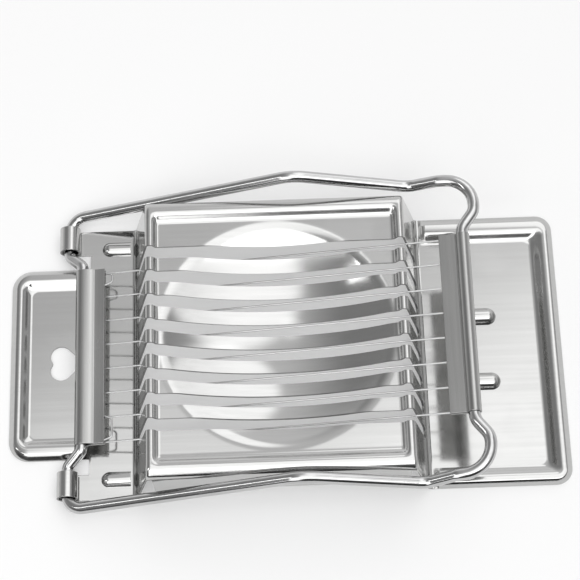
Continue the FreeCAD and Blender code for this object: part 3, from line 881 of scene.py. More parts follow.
@dataclass
class HingeEndPlate:
    """The narrow tab with its rim and heart-shaped hanging hole, and the wider deck with two ribs.

    The heart is a square with the side heart_square, stood on its corner, with half rounds on two sides.
    """

    tab_half: float = 24.9
    tab_rim_x: float = -50.6
    tab_along: RimProfile = RimProfile(2.2, 5.1)
    tab_across: RimProfile = RimProfile(2.9, 5.6)
    tab_corner: float = 5.0
    tab_fade: float = 1.4
    heart_square: float = 5.2
    heart_x: float = -53.75
    lobe_steps: int = 14
    notch_trim: float = math.radians(7)
    rib_start_x: float = -43.55
    rib_length: float = 6.5
    rib_y: float = 30.2
    rib_radius: float = 1.7
    rib_flare: float = 0.25
    rib_height: float = 1.6
    rib_gap: float = 0.3

    def heart(self, mesh: Mesh) -> list[Edge]:
        """Draw the outline of the heart-shaped hole, its tip towards the bed.

        Args:
            mesh: the plate.

        Returns:
            The edges of the outline.
        """
        known = set(mesh.edges)
        corner = self.heart_square / math.sqrt(2.0)
        lobe = self.heart_square / math.sqrt(8.0)
        tip = mesh.verts.new((self.heart_x + corner, 0.0, BASE.sheet))
        shoulder = mesh.verts.new((self.heart_x, corner, BASE.sheet))
        mesh.edges.new((tip, shoulder))
        last = shoulder
        for side in (1.0, -1.0):
            spun = bmesh.ops.spin(
                mesh, geom=[last], cent=(self.heart_x - lobe, side * lobe, BASE.sheet), axis=(0.0, 0.0, 1.0),
                angle=math.pi - self.notch_trim, steps=self.lobe_steps, use_duplicate=False,
            )
            last = verts_of(spun["geom_last"])[0]
            if side > 0.0:
                lower = mesh.verts.new((last.co.x, -last.co.y, BASE.sheet))
                mesh.edges.new((last, lower))
                last = lower
        mesh.edges.new((last, tip))
        return [edge for edge in mesh.edges if edge not in known]

    def outline(self, mesh: Mesh) -> list[Edge]:
        """Draw the deck's edges from the tab's far side round to its near side.

        Args:
            mesh: the plate.

        Returns:
            The edges.
        """
        far = [
            (BASE.deck_x, self.tab_half, BASE.sheet),
            (BASE.deck_x, BASE.ear_inner, BASE.sheet),
            (BASE.deck_x, BASE.half_width, BASE.sheet),
            (BASE.deck_end_x, BASE.half_width, BASE.sheet),
        ]
        near = [(x, -y, z) for x, y, z in reversed(far)]
        verts = mesh.verts[:]
        start = nearest(verts, (self.tab_rim_x, self.tab_half, BASE.sheet))
        end = nearest(verts, (self.tab_rim_x, -self.tab_half, BASE.sheet))
        return draw_line(mesh, start, far + near, end)

    def seam(self, edge: Edge) -> bool:
        """Tell whether an edge is where the sheet runs on into the bed or an ear."""
        beside_ear = all(abs(vert.co.y) > BASE.ear_inner - NEAR for vert in edge.verts)
        return on_plane(edge, BASE.deck_end_x) or (on_plane(edge, BASE.deck_x) and beside_ear)

    def build(self) -> bpy.types.Object:
        """Build and dress the plate.

        Returns:
            The finished piece.
        """
        mesh = bmesh.new()
        tab = RimmedPlate(
            round_x=-BASE.half_length, open_x=self.tab_rim_x, half=self.tab_half, along=self.tab_along,
            across=self.tab_across, shift=0.0, corner=self.tab_corner, fade=self.tab_fade,
        )
        bounds = tab.press_rim(mesh)
        bounds += tab.open_end(mesh)
        bounds += self.outline(mesh)
        bounds += self.heart(mesh)
        for side in Side:
            rib = PressedRib(
                start_x=self.rib_start_x, length=self.rib_length, y=side.value * self.rib_y,
                radius=self.rib_radius, foot_flare=self.rib_flare, height=self.rib_height,
                end_x=BASE.deck_end_x - self.rib_gap,
            )
            bounds += rib.press(mesh)
        fill_flat(mesh, bounds)
        face_outwards(mesh, is_level, UPWARDS)
        thicken(mesh, BASE.sheet)
        ease_edges(mesh, BASE.edge_ease, self.seam)
        return finish_piece("hinge_end_sheet", mesh, BASE_STEEL, Body.BASE, "hinge_end_plate")


@dataclass
class HandleEndPlate:
    """The wide end plate with its rim and the two ribs that the handle bar comes down on."""

    along: RimProfile = RimProfile(2.2, 6.1)
    across: RimProfile = RimProfile(3.0, 6.0)
    shift: float = 0.9
    corner: float = 4.0
    fade: float = 1.6
    rib_start_x: float = 44.55
    rib_length: float = 5.6
    rib_y: float = 8.5
    rib_radius: float = 1.9

    def seam(self, edge: Edge) -> bool:
        """Tell whether an edge is where the sheet runs on into the bed."""
        return on_plane(edge, BASE.plate_start_x)

    def build(self) -> bpy.types.Object:
        """Build and dress the plate.

        Returns:
            The finished piece.
        """
        mesh = bmesh.new()
        plate = RimmedPlate(
            round_x=BASE.half_length, open_x=BASE.plate_start_x, half=BASE.half_width, along=self.along,
            across=self.across, shift=self.shift, corner=self.corner, fade=self.fade,
        )
        bounds = plate.press_rim(mesh)
        ends = [vert for edge in bounds for vert in edge.verts if abs(vert.co.x - BASE.plate_start_x) < NEAR]
        bounds += draw_line(mesh, ends[0], [], ends[1])
        for side in Side:
            rib = PressedRib(self.rib_start_x, self.rib_length, side.value * self.rib_y, self.rib_radius)
            bounds += rib.press(mesh)
        fill_flat(mesh, bounds)
        face_outwards(mesh, is_level, UPWARDS)
        thicken(mesh, BASE.sheet)
        ease_edges(mesh, BASE.edge_ease, self.seam)
        return finish_piece("handle_end_sheet", mesh, BASE_STEEL, Body.BASE, "handle_end_plate")


@dataclass
class HingeEar:
    """A strap of the deck rolled up and over the hinge rod.

    The slit is the gap between the roll's end and the strap, and faces below strap_below are the underside.
    """

    side: Side
    roll_radius: float = 2.55
    slit: float = 0.5
    strap_below: float = 0.2

    def seam(self, edge: Edge) -> bool:
        """Tell whether an edge is where the strap runs on into the deck."""
        return on_plane(edge, BASE.deck_x)

    def build(self) -> bpy.types.Object:
        """Build and dress the ear.

        Returns:
            The finished piece.
        """
        mesh = bmesh.new()
        first = mesh.verts.new((BASE.deck_x, self.side.value * BASE.ear_inner, 0.0))
        second = mesh.verts.new((BASE.deck_x, self.side.value * BASE.half_width, 0.0))
        chain = [mesh.edges.new((first, second))]
        chain = push(mesh, chain, Vector((BASE.hinge_x - BASE.deck_x, 0.0, 0.0)))
        stop = math.asin((BASE.hinge_z - BASE.sheet - self.slit) / self.roll_radius)
        sweep = 2.0 * math.pi - (math.pi / 2.0 - stop)
        middle = Vector((BASE.hinge_x, 0.0, BASE.hinge_z))
        turn(mesh, chain, middle, Vector((0.0, 1.0, 0.0)), sweep, ROLL_STEPS)
        face_outwards(mesh, lambda face: face.calc_center_median().z < self.strap_below, -UPWARDS)
        thicken(mesh, BASE.sheet)
        ease_edges(mesh, BASE.edge_ease, self.seam)
        label = self.side.name.lower()
        return finish_piece(f"rolled_ear_{label}", mesh, BASE_STEEL, Body.BASE, f"hinge_ear_{label}")


@dataclass
class EggBed:
    """The raised bed: feet, leaning slotted walls, rim, recessed panel, round dip and turned-down sides.

    The dip is part of a ball of radius dip_ball, rounded into the panel over dip_round. The fields that end
    in parts say how finely each stretch of the sheet is divided.
    """

    start_x: float = -33.25
    middle_x: float = -1.75
    wall_run: float = 3.8
    height: float = 18.0
    top_bend: float = 1.2
    foot_bend: float = 1.1
    slot_foot: float = 2.4
    slot_width: float = 3.0
    slot_pitch: float = 6.28
    slot_count: int = 8
    side_bottom: float = 7.0
    side_round: float = 3.0
    side_drop: float = 2.2
    window_along: float = 29.8
    window_across: float = 32.03
    recess_depth: float = 1.4
    recess_run_along: float = 0.9
    recess_run_across: float = 2.1
    recess_ease_along: float = 0.2
    recess_ease_across: float = 0.3
    dip_radius: float = 29.6
    dip_ball: float = 61.52
    dip_round: float = 3.0
    top_step: float = 0.45
    slot_parts: int = 8
    bridge_parts: int = 6
    margin_parts: int = 22
    side_bend_parts: int = 12
    side_parts: int = 4
    foot_parts: int = 2
    foot_bend_parts: int = 7
    wall_parts: int = 8
    top_bend_parts: int = 8

    def slots(self) -> list[float]:
        """List the slots' middles across."""
        return [((self.slot_count - 1) / 2.0 - index) * self.slot_pitch for index in range(self.slot_count)]

    def slot_round_z(self) -> float:
        """Give the height at which the round lower ends of the slots begin."""
        return self.slot_foot + self.slot_width / 2.0

    def flat_half(self) -> float:
        """Give the half width of the top up to the bends of its long sides."""
        return BASE.half_width - self.side_round

    def bend_length(self) -> float:
        """Give the length of sheet in the bend of a long side."""
        return (self.side_round + self.side_drop) * math.pi / 4.0

    def lean(self) -> float:
        """Give the slope of the end walls, in radians from level."""
        return math.atan2(self.height - BASE.sheet, self.wall_run)

    def across_places(self) -> list[float]:
        """List where the lines along the sheet run.

        Returns:
            The places, measured on the flat sheet from its middle.
        """
        half_slot = self.slot_width / 2.0
        edges = sorted(y + sign * half_slot for y in self.slots() for sign in (-1.0, 1.0))
        places = []
        for first, second in zip(edges, edges[1:]):
            is_slot = second - first < self.slot_width + NEAR
            parts = self.slot_parts if is_slot else self.bridge_parts
            places += [first + (second - first) * part / parts for part in range(parts)]
        places.append(edges[-1])
        beyond = []
        start = edges[-1]
        for length, parts in (
            (self.flat_half() - start, self.margin_parts),
            (self.bend_length(), self.side_bend_parts),
            (self.height - self.side_drop - self.side_bottom, self.side_parts),
        ):
            beyond += [start + length * part / parts for part in range(1, parts + 1)]
            start = beyond[-1]
        return [-place for place in reversed(beyond)] + places + beyond

    def strip(self, mesh: Mesh) -> None:
        """Bend the sheet from foot to foot: feet, walls and a flat top.

        Args:
            mesh: the mesh that gets it.
        """
        places = self.across_places()
        chain_verts = [mesh.verts.new((BASE.deck_end_x, place, BASE.sheet)) for place in places]
        chain = [mesh.edges.new(pair) for pair in zip(chain_verts, chain_verts[1:])]
        lean = self.lean()
        foot_reach = self.foot_bend * math.tan(lean / 2.0)
        top_reach = self.top_bend * math.tan(lean / 2.0)
        foot_x = self.start_x - self.wall_run
        up_wall = Vector((math.cos(lean), 0.0, math.sin(lean)))
        across = Vector((0.0, 1.0, 0.0))

        foot = Vector((foot_x - foot_reach - BASE.deck_end_x, 0.0, 0.0))
        chain = push_in_parts(mesh, chain, foot, self.foot_parts)
        centre = Vector((foot_x - foot_reach, 0.0, BASE.sheet + self.foot_bend))
        chain = turn(mesh, chain, centre, -across, lean, self.foot_bend_parts)
        wall_bottom = BASE.sheet + foot_reach * math.sin(lean)
        wall_top = self.height - top_reach * math.sin(lean)
        low = self.slot_round_z() - wall_bottom
        high = wall_top - self.slot_round_z()
        chain = push(mesh, chain, up_wall * (low / math.sin(lean)))
        chain = push_in_parts(mesh, chain, up_wall * (high / math.sin(lean)), self.wall_parts)
        centre = Vector((self.start_x + top_reach, 0.0, self.height - self.top_bend))
        chain = turn(mesh, chain, centre, across, lean, self.top_bend_parts)
        flat_start = self.start_x + top_reach
        side_start = self.start_x + self.top_bend
        chain = push(mesh, chain, Vector((side_start - flat_start, 0.0, 0.0)))
        half_top = self.middle_x - side_start
        push_in_parts(mesh, chain, Vector((half_top, 0.0, 0.0)), round(half_top / self.top_step))
        everything = mesh.verts[:] + mesh.edges[:] + mesh.faces[:]
        mirror = Matrix.Translation((-self.middle_x, 0.0, 0.0))
        bmesh.ops.mirror(mesh, geom=everything, matrix=mirror, merge_dist=NEAR, axis="X")

    def cut_away(self, mesh: Mesh) -> None:
        """Take out the slots with their round lower ends, and the sheet past the walls' ends.

        Args:
            mesh: the bent sheet.
        """
        half_slot = self.slot_width / 2.0
        half_top = self.middle_x - self.start_x - self.top_bend
        lean = self.lean()
        gone = []
        for face in mesh.faces:
            place = face.calc_center_median()
            from_middle = abs(place.x - self.middle_x)
            past = abs(place.y) - self.flat_half()
            over_slot = any(abs(place.y - y) < half_slot for y in self.slots())
            in_slot = over_slot and place.z > self.slot_round_z()
            past_wall = from_middle > half_top and past > self.bend_length()
            if in_slot or past_wall:
                gone.append(face)
        bmesh.ops.delete(mesh, geom=gone, context="FACES")
        for vert in mesh.verts:
            off = min(abs(vert.co.y - y) for y in self.slots())
            if abs(vert.co.z - self.slot_round_z()) < NEAR and off < half_slot:
                drop = math.sqrt(half_slot ** 2 - off ** 2)
                outwards = math.copysign(1.0, vert.co.x - self.middle_x)
                vert.co.x += outwards * drop * math.cos(lean)
                vert.co.z -= drop * math.sin(lean)

    def depth(self, x: float, y: float) -> float:
        """Give how far the pressed top lies below the rim.

        Args:
            x: place along the base.
            y: place across the base.

        Returns:
            The depth of the recess and the round dip together.
        """
        inside_along = self.window_along - abs(x - self.middle_x) + self.recess_ease_along
        inside_across = self.window_across - abs(y) + self.recess_ease_across
        share_along = smooth_step(inside_along / (self.recess_run_along + 2.0 * self.recess_ease_along))
        share_across = smooth_step(inside_across / (self.recess_run_across + 2.0 * self.recess_ease_across))
        recess = self.recess_depth * share_along * share_across
        away = math.hypot(x - self.middle_x, y)
        inner = self.dip_radius - self.dip_round
        ball_z = math.sqrt(self.dip_ball ** 2 - inner ** 2)
        fall = inner / ball_z
        if away > inner:
            left = max(self.dip_radius - away, 0.0)
            return recess + fall * left ** 2 / (2.0 * self.dip_round)
        return recess + fall * self.dip_round / 2.0 + math.sqrt(self.dip_ball ** 2 - away ** 2) - ball_z

    def press_top(self, mesh: Mesh) -> None:
        """Press the recess and the dip, turn the long sides down and round the walls' ends into them.

        Args:
            mesh: the bent sheet with its slots.
        """
        for vert in mesh.verts:
            x, y, z = vert.co
            past = abs(y) - self.flat_half()
            if past > NEAR:
                angle = min(past / self.bend_length(), 1.0) * math.pi / 2.0
                straight = max(past - self.bend_length(), 0.0)
                top_share = (z - BASE.sheet) / (self.height - BASE.sheet)
                drop = self.side_drop * (1.0 - math.cos(angle)) * top_share ** 2
                vert.co.y = math.copysign(self.flat_half() + self.side_round * math.sin(angle), y)
                vert.co.z = z - drop - straight
            elif z > self.height - NEAR:
                vert.co.z = self.height - self.depth(x, y)

    def seam(self, edge: Edge) -> bool:
        """Tell whether an edge is where the sheet runs on into an end plate."""
        return on_plane(edge, BASE.deck_end_x) or on_plane(edge, BASE.plate_start_x)

    def build(self) -> bpy.types.Object:
        """Build and dress the bed.

        Returns:
            The finished piece.
        """
        mesh = bmesh.new()
        self.strip(mesh)
        self.cut_away(mesh)
        self.press_top(mesh)
        face_outwards(mesh, is_level, UPWARDS)
        thicken(mesh, BASE.sheet)
        ease_edges(mesh, BASE.edge_ease, self.seam)
        return finish_piece("egg_bed_sheet", mesh, BASE_STEEL, Body.BASE, "egg_bed")


@dataclass
class CutterFrame:
    """The hinged frame: bent rod, two rolled bars and the lacing of cutting wire.

    Its sizes are in its own frame (along, across, up) with the hinge axis as origin and the wires level.
    Across its neck the rod thins to run inside the bars. The apex and the kink are places along and up, and
    the other pairs belong to the two corners of the jog, of the handle loop and of the loop's neck.
    """

    resting_angle: float = 9.1
    rod_radius: float = 1.45
    rod_core: float = 1.25
    rod_sides: int = 32
    rod_half: float = 37.98
    neck: Pair = (22.35, 22.55)
    jog_across: Pair = (23.93, 27.53)
    apex: Pair = (59.1, 12.08)
    kink: Pair = (85.9, -0.95)
    loop_along: Pair = (93.5, 101.9)
    loop_inset: Pair = (0.55, 1.0)
    loop_neck_across: Pair = (28.6, 24.28)
    jog_bend: float = 2.2
    ear_bend: float = 4.2
    apex_bend: float = 9.0
    kink_bend: float = 5.0
    rise_bend: float = 4.0
    loop_bend: float = 7.0
    loop_neck_bend: float = 4.0
    wire_radius: float = 0.225
    wire_sides: int = 12
    wire_count: int = 8
    wire_pitch: float = 6.28
    wire_bend: float = 0.4
    wire_level: float = 0.6
    lace_level: float = 1.26
    bar_level: float = 1.66
    bar_half: float = 22.68
    bar_radius: float = 1.75
    bar_reach: float = 5.7
    bar_sheet: float = 0.45
    flange_half: float = 0.755
    flange_fillet: float = 0.4
    flange_crease: float = 3.25
    swell_steps: int = 10
    bar_ease: float = 0.12
    hinge_bar_along: float = 3.9
    handle_bar_along: float = 98.6
    hinge_hole_along: float = 8.75
    handle_hole_along: float = 93.75
    tail_along: float = 11.4
    tail_lead: float = 0.9
    tail_bend: float = 0.8
    far_tail_across: float = 18.2
    near_tail_across: float = 15.5

    def hang(self, mesh: Mesh) -> None:
        """Set a mesh of the frame on the hinge axis at the resting angle.

        Args:
            mesh: a piece of the frame, drawn with the wires level.
        """
        rest = Matrix.Translation((BASE.hinge_x, 0.0, BASE.hinge_z))
        rest = rest @ Matrix.Rotation(-math.radians(self.resting_angle), 4, "Y")
        bmesh.ops.transform(mesh, matrix=rest, verts=mesh.verts)

    def wire_y(self, index: int) -> float:
        """Give a wire's place across, counted from the far side."""
        return ((self.wire_count - 1) / 2.0 - index) * self.wire_pitch

    def rod(self, side: Side) -> bpy.types.Object:
        """Build and dress one half of the bent rod.

        Args:
            side: which half it is.

        Returns:
            The finished piece.
        """
        up = self.bar_level
        corners = [
            (self.hinge_bar_along, 0.0, up),
            (self.hinge_bar_along, self.jog_across[0], up),
            (0.0, self.jog_across[1], 0.0),
            (0.0, self.rod_half, 0.0),
            (self.apex[0], self.rod_half, self.apex[1]),
            (self.kink[0], self.rod_half, self.kink[1]),
            (self.loop_along[0], self.rod_half - self.loop_inset[0], up),
            (self.loop_along[1], self.rod_half - self.loop_inset[1], up),
            (self.loop_along[1], self.loop_neck_across[0], up),
            (self.handle_bar_along, self.loop_neck_across[1], up),
            (self.handle_bar_along, 0.0, up),
        ]
        bends = [
            self.jog_bend, self.jog_bend, self.ear_bend, self.apex_bend, self.kink_bend, self.rise_bend,
            self.loop_bend, self.loop_neck_bend, self.loop_neck_bend,
        ]
        mesh = bmesh.new()
        sided = [(along, side.value * across, rise) for along, across, rise in corners]
        sweep_round(mesh, sided, bends, self.rod_radius, self.rod_sides)
        self.neck_rod(mesh, side)
        self.hang(mesh)
        label = side.name.lower()
        return finish_piece(
            f"bent_rod_{label}", mesh, ROD_STEEL, Body.CUTTER_FRAME, f"frame_rod_{label}",
        )

    def neck_rod(self, mesh: Mesh, side: Side) -> None:
        """Thin half a rod where it runs inside the two bars.

        Args:
            mesh: the half rod.
            side: which half it is.
        """
        for across in self.neck:
            bmesh.ops.bisect_plane(
                mesh, geom=mesh.verts[:] + mesh.edges[:] + mesh.faces[:],
                plane_co=(0.0, side.value * across, 0.0), plane_no=(0.0, 1.0, 0.0),
            )
        inner = [vert for vert in mesh.verts if abs(vert.co.y) < self.neck[0] + NEAR]
        shrink = self.rod_core / self.rod_radius
        for along in (self.hinge_bar_along, self.handle_bar_along):
            bmesh.ops.scale(
                mesh, vec=(shrink, 1.0, shrink), space=Matrix.Translation((-along, 0.0, -self.bar_level)),
                verts=[vert for vert in inner if abs(vert.co.x - along) < self.bar_radius],
            )

    def bar(self, label: str, along: float, towards: float, creased: bool) -> bpy.types.Object:
        """Build and dress one wire bar.

        Args:
            label: "hinge" or "handle".
            along: where its roll is.
            towards: direction of its flange from the roll, 1 or -1.
            creased: whether its top swells out from the roll down to a crease.

        Returns:
            The bar.
        """
        mesh = bmesh.new()
        low = self.bar_level - self.flange_half
        first = mesh.verts.new((along + towards * self.bar_reach, -self.bar_half, low))
        second = mesh.verts.new((along + towards * self.bar_reach, self.bar_half, low))
        chain = [mesh.edges.new((first, second))]
        fillet_up = self.flange_half + self.flange_fillet
        apart = self.bar_radius + self.flange_fillet
        fillet_along = math.sqrt(apart ** 2 - fillet_up ** 2)
        flare = math.acos(fillet_up / apart)
        axis = Vector((0.0, towards, 0.0))
        chain = push(mesh, chain, Vector((-towards * (self.bar_reach - fillet_along), 0.0, 0.0)))
        centre = Vector((along + towards * fillet_along, 0.0, self.bar_level - fillet_up))
        chain = turn(mesh, chain, centre, -axis, flare, FILLET_STEPS)
        middle = Vector((along, 0.0, self.bar_level))
        if creased:
            drop = self.bar_radius - self.flange_half
            swell = (self.flange_crease ** 2 + drop ** 2) / (2.0 * drop)
            chain = turn(mesh, chain, middle, axis, math.pi + flare, ROLL_STEPS)
            centre = middle - Vector((0.0, 0.0, swell - self.bar_radius))
            chain = turn(mesh, chain, centre, axis, math.asin(self.flange_crease / swell), self.swell_steps)
            push(mesh, chain, Vector((towards * (self.bar_reach - self.flange_crease), 0.0, 0.0)))
        else:
            chain = turn(mesh, chain, middle, axis, math.pi + 2.0 * flare, ROLL_STEPS)
            centre = Vector((along + towards * fillet_along, 0.0, self.bar_level + fillet_up))
            chain = turn(mesh, chain, centre, -axis, flare, FILLET_STEPS)
            push(mesh, chain, Vector((towards * (self.bar_reach - fillet_along), 0.0, 0.0)))
        top = self.bar_level + self.flange_half - self.bar_ease
        face_outwards(mesh, lambda face: is_level(face) and face.calc_center_median().z > top, UPWARDS)
        thicken(mesh, self.bar_sheet)
        ease_edges(mesh, self.bar_ease)
        self.hang(mesh)
        return finish_piece(f"rolled_bar_{label}", mesh, BAR_STEEL, Body.CUTTER_FRAME, f"{label}_wire_bar")

    def lacing(self, name: str, routes: Sequence[Sequence[Triple]], bends: Sequence[float],
               node: str) -> bpy.types.Object:
        """Build and dress some runs of the cutting wire.

        Args:
            name: the piece's name.
            routes: the corners of each run.
            bends: radius at each inner corner.
            node: the CAD node that it stands for.

        Returns:
            The piece.
        """
        mesh = bmesh.new()
        for route in routes:
            sweep_round(mesh, route, bends, self.wire_radius, self.wire_sides)
        self.hang(mesh)
        return finish_piece(name, mesh, WIRE_STEEL, Body.CUTTER_FRAME, node)

    def spans(self) -> None:
        """Build and dress the eight taut wires."""
        for index in range(self.wire_count):
            y = self.wire_y(index)
            route = [
                (self.hinge_hole_along, y, self.lace_level), (self.hinge_hole_along, y, self.wire_level),
                (self.handle_hole_along, y, self.wire_level), (self.handle_hole_along, y, self.lace_level),
            ]
            bends = [self.wire_bend, self.wire_bend]
            self.lacing(f"taut_wire_{index + 1}", [route], bends, f"cutting_wire_{index + 1}")

    def returns(self, label: str, hole_along: float, first_wire: int) -> None:
        """Build and dress the short runs of wire inside a bar's slit.

        Args:
            label: "hinge" or "handle".
            hole_along: where the bar's wire holes are.
            first_wire: the first wire that turns there.
        """
        routes = []
        for index in range(first_wire, self.wire_count - 1, 2):
            here = self.wire_y(index)
            there = self.wire_y(index + 1)
            routes.append([
                (hole_along, here, self.lace_level), (hole_along, here, self.bar_level),
                (hole_along, there, self.bar_level), (hole_along, there, self.lace_level),
            ])
        bends = [self.wire_bend, self.wire_bend]
        self.lacing(f"lacing_{label}", routes, bends, f"wire_returns_{label}")

    def tails(self) -> None:
        """Build and dress the two tied ends of the wire, which loop out of the hinge bar's slit."""
        first = self.wire_y(0)
        for side, last in ((Side.FAR, self.far_tail_across), (Side.NEAR, self.near_tail_across)):
            sign = side.value
            route = [
                (self.hinge_hole_along, sign * first, self.lace_level),
                (self.hinge_hole_along, sign * first, self.bar_level),
                (self.tail_along, sign * (first - self.tail_lead), self.bar_level),
                (self.tail_along, sign * (last + self.tail_lead), self.bar_level),
                (self.hinge_hole_along, sign * last, self.bar_level),
            ]
            label = side.name.lower()
            bends = [self.wire_bend, self.tail_bend, self.tail_bend]
            self.lacing(f"tied_end_{label}", [route], bends, f"wire_tail_{label}")

    def build(self) -> None:
        """Build and dress the whole frame."""
        for side in Side:
            self.rod(side)
        self.bar("hinge", self.hinge_bar_along, 1.0, True)
        self.bar("handle", self.handle_bar_along, -1.0, False)
        self.spans()
        self.returns("hinge", self.hinge_hole_along, 1)
        self.returns("handle", self.handle_hole_along, 0)
        self.tails()


@dataclass(frozen=True)
class Fade:
    """A level that changes smoothly while a value crosses a span."""

    span: Pair
    levels: Pair

    def add(self, tree: bpy.types.NodeTree, value: bpy.types.NodeSocket) -> bpy.types.NodeSocket:
        """Put the fade of a value into a node tree and give its socket."""
        return remapped(tree, value, self.span, self.levels)


@dataclass(frozen=True)
class Glow:
    """A round patch of the sky: its middle's direction, and its level by the cosine of the angle from it."""

    middle: Triple
    fade: Fade

    def add(self, tree: bpy.types.NodeTree, direction: bpy.types.NodeSocket) -> bpy.types.NodeSocket:
        """Put the patch into the sky.

        Args:
            tree: the sky's node tree.
            direction: the socket with the direction looked in.

        Returns:
            The socket with the patch's level.
        """
        aim = tree.nodes.new("ShaderNodeVectorMath")
        aim.operation = "DOT_PRODUCT"
        aim.inputs[1].default_value = self.middle
        tree.links.new(direction, aim.inputs[0])
        return self.fade.add(tree, aim.outputs["Value"])


@dataclass(frozen=True)
class SoftLamp:
    """A soft rectangular lamp that faces the object: place and sides in metres, power in watts."""

    name: str
    place: Triple
    size: Pair
    power: float

    def hang(self) -> None:
        """Hang the lamp."""
        data = bpy.data.lights.new(self.name, "AREA")
        data.shape = "RECTANGLE"
        data.size, data.size_y = self.size
        data.energy = self.power
        lamp = bpy.data.objects.new(self.name, data)
        lamp.rotation_mode = "QUATERNION"
        lamp.rotation_quaternion = Vector(self.place).to_track_quat("Z", "Y")
        lamp.location = self.place
        bpy.context.scene.collection.objects.link(lamp)


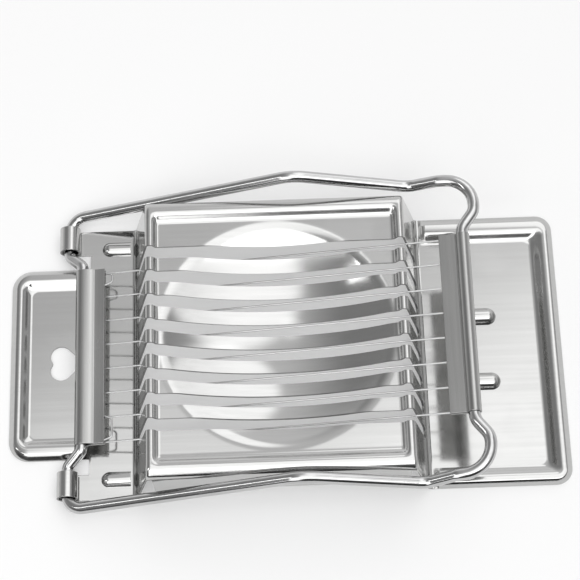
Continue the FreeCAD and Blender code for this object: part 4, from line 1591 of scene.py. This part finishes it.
@dataclass
class Studio:
    """The pale floor, the soft light and the camera.

    Angles are degrees, the camera's distance and target are millimetres and the floor's half size is metres.
    The sky is a skyline that gives way to a ceiling, brightened by the glows and dimmed by the shade.
    """

    azimuth: float = 0.533
    elevation: float = 67.94
    roll: float = -2.529
    distance: float = 475.1
    target: Triple = (1.534, 17.70, 0.0)
    lens: float = 117.57
    floor_half: float = 4.0
    floor_tone: Triple = (0.83, 0.83, 0.83)
    white_share: float = 0.28
    skyline: Fade = Fade((-0.7, 0.9), (0.08, 1.0))
    left_fall: Fade = Fade((-0.5, 0.0), (0.32, 0.80))
    right_fall: Fade = Fade((0.25, 0.7), (1.0, 0.55))
    ceiling_share: Fade = Fade((0.1, 0.62), (0.0, 1.0))
    glows: tuple[Glow, ...] = (
        Glow((0.3, -0.1, 0.95), Fade((0.845, 0.905), (0.0, 1.0))),
        Glow((-0.11, 0.25, 0.962), Fade((0.9945, 0.9997), (0.0, 0.7))),
        Glow((0.33, 0.66, 0.675), Fade((0.925, 0.955), (0.0, 0.95))),
    )
    shade: Glow = Glow((0.18, -0.9, 0.4), Fade((0.9, 0.945), (1.0, 0.15)))
    lamps: tuple[SoftLamp, ...] = (
        SoftLamp("front_soft_box", (0.0, -0.52, 0.95), (1.5, 0.5), 4.1),
        SoftLamp("left_soft_box", (-0.29, -0.79, 0.55), (0.45, 0.45), 1.15),
        SoftLamp("left_strip", (-0.69, -0.10, 0.71), (0.1, 0.5), 0.6),
    )

    def camera(self) -> None:
        """Set up the camera at the photo's place and angle."""
        data = bpy.data.cameras.new("camera")
        data.sensor_fit = "HORIZONTAL"
        data.sensor_width = 36.0
        data.lens = self.lens
        data.clip_start = 0.01
        data.clip_end = 100.0
        turn_round = math.radians(self.azimuth)
        rise = math.radians(self.elevation)
        tilt = math.radians(self.roll)
        back = Vector((
            math.sin(turn_round) * math.cos(rise), -math.cos(turn_round) * math.cos(rise), math.sin(rise),
        ))
        right = Vector((math.cos(turn_round), math.sin(turn_round), 0.0))
        up = back.cross(right)
        tilted_right = right * math.cos(tilt) + up * math.sin(tilt)
        tilted_up = up * math.cos(tilt) - right * math.sin(tilt)
        place = (Vector(self.target) + back * self.distance) * MM
        rows = Matrix((tilted_right, tilted_up, back)).transposed().to_4x4()
        camera = bpy.data.objects.new("camera", data)
        camera.matrix_world = Matrix.Translation(place) @ rows
        bpy.context.scene.collection.objects.link(camera)
        bpy.context.scene.camera = camera

    def table(self) -> bpy.types.Material:
        """Make the table's pale material, which shows close to white and keeps a soft shadow.

        Returns:
            A material that lights the object as a plain pale table does.
        """
        made = bpy.data.materials.new("Pale table")
        made.use_nodes = True
        tree = made.node_tree
        shader = tree.nodes["Principled BSDF"]
        shader.inputs["Base Color"].default_value = (*self.floor_tone, 1.0)
        shader.inputs["Roughness"].default_value = 0.9
        shader.inputs["Specular IOR Level"].default_value = 0.1
        white = tree.nodes.new("ShaderNodeEmission")
        white.inputs["Strength"].default_value = 1.0
        path = tree.nodes.new("ShaderNodeLightPath").outputs
        seen = combined(tree, "MAXIMUM", path["Is Camera Ray"], path["Is Glossy Ray"])
        seen = combined(tree, "MAXIMUM", seen, path["Is Transmission Ray"])
        share = remapped(tree, seen, (0.0, 1.0), (0.0, self.white_share))
        blend = tree.nodes.new("ShaderNodeMixShader")
        tree.links.new(share, blend.inputs["Fac"])
        tree.links.new(shader.outputs["BSDF"], blend.inputs[1])
        tree.links.new(white.outputs["Emission"], blend.inputs[2])
        tree.links.new(blend.outputs["Shader"], tree.nodes["Material Output"].inputs["Surface"])
        return made

    def floor(self) -> None:
        """Lay the pale floor."""
        mesh = bmesh.new()
        bmesh.ops.create_grid(mesh, x_segments=1, y_segments=1, size=self.floor_half)
        data = bpy.data.meshes.new("floor")
        mesh.to_mesh(data)
        mesh.free()
        data.materials.append(self.table())
        floor = bpy.data.objects.new("floor", data)
        bpy.context.scene.collection.objects.link(floor)

    def sky(self) -> None:
        """Surround the scene with soft light that is dim to the front and to the hinge end."""
        world = bpy.data.worlds.new("studio")
        bpy.context.scene.world = world
        world.use_nodes = True
        tree = world.node_tree
        direction = tree.nodes.new("ShaderNodeTexCoord").outputs["Generated"]
        parts = tree.nodes.new("ShaderNodeSeparateXYZ")
        tree.links.new(direction, parts.inputs["Vector"])
        across = parts.outputs["X"]
        skyline = self.skyline.add(tree, parts.outputs["Y"])
        left_fall = self.left_fall.add(tree, across)
        ceiling = combined(tree, "MULTIPLY", left_fall, self.right_fall.add(tree, across))
        level = tree.nodes.new("ShaderNodeMix")
        tree.links.new(self.ceiling_share.add(tree, parts.outputs["Z"]), level.inputs["Factor"])
        tree.links.new(skyline, level.inputs["A"])
        tree.links.new(ceiling, level.inputs["B"])
        light = level.outputs["Result"]
        for glow in self.glows:
            light = combined(tree, "ADD", light, glow.add(tree, direction))
        light = combined(tree, "MULTIPLY", light, self.shade.add(tree, direction))
        tree.links.new(light, tree.nodes["Background"].inputs["Color"])

    def build(self) -> None:
        """Set up everything that isn't part of the object."""
        self.camera()
        self.floor()
        self.sky()
        for lamp in self.lamps:
            lamp.hang()
        bpy.context.scene.view_settings.view_transform = "Standard"


def write_sizes() -> None:
    """Bring the scene's matrices up to date."""
    bpy.context.view_layer.update()


def main() -> None:
    """Build the studio and the pieces in order."""
    logging.basicConfig(level=logging.INFO, format="%(name)s %(message)s")
    Studio().build()
    HingeEndPlate().build()
    EggBed().build()
    HandleEndPlate().build()
    for side in Side:
        HingeEar(side).build()
    CutterFrame().build()
    shown = [name for name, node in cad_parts.items() if not node.hide_render]
    LOG.info("CAD nodes still showing: %s", shown or "none")
    write_sizes()


if __name__ == "__main__":
    main()
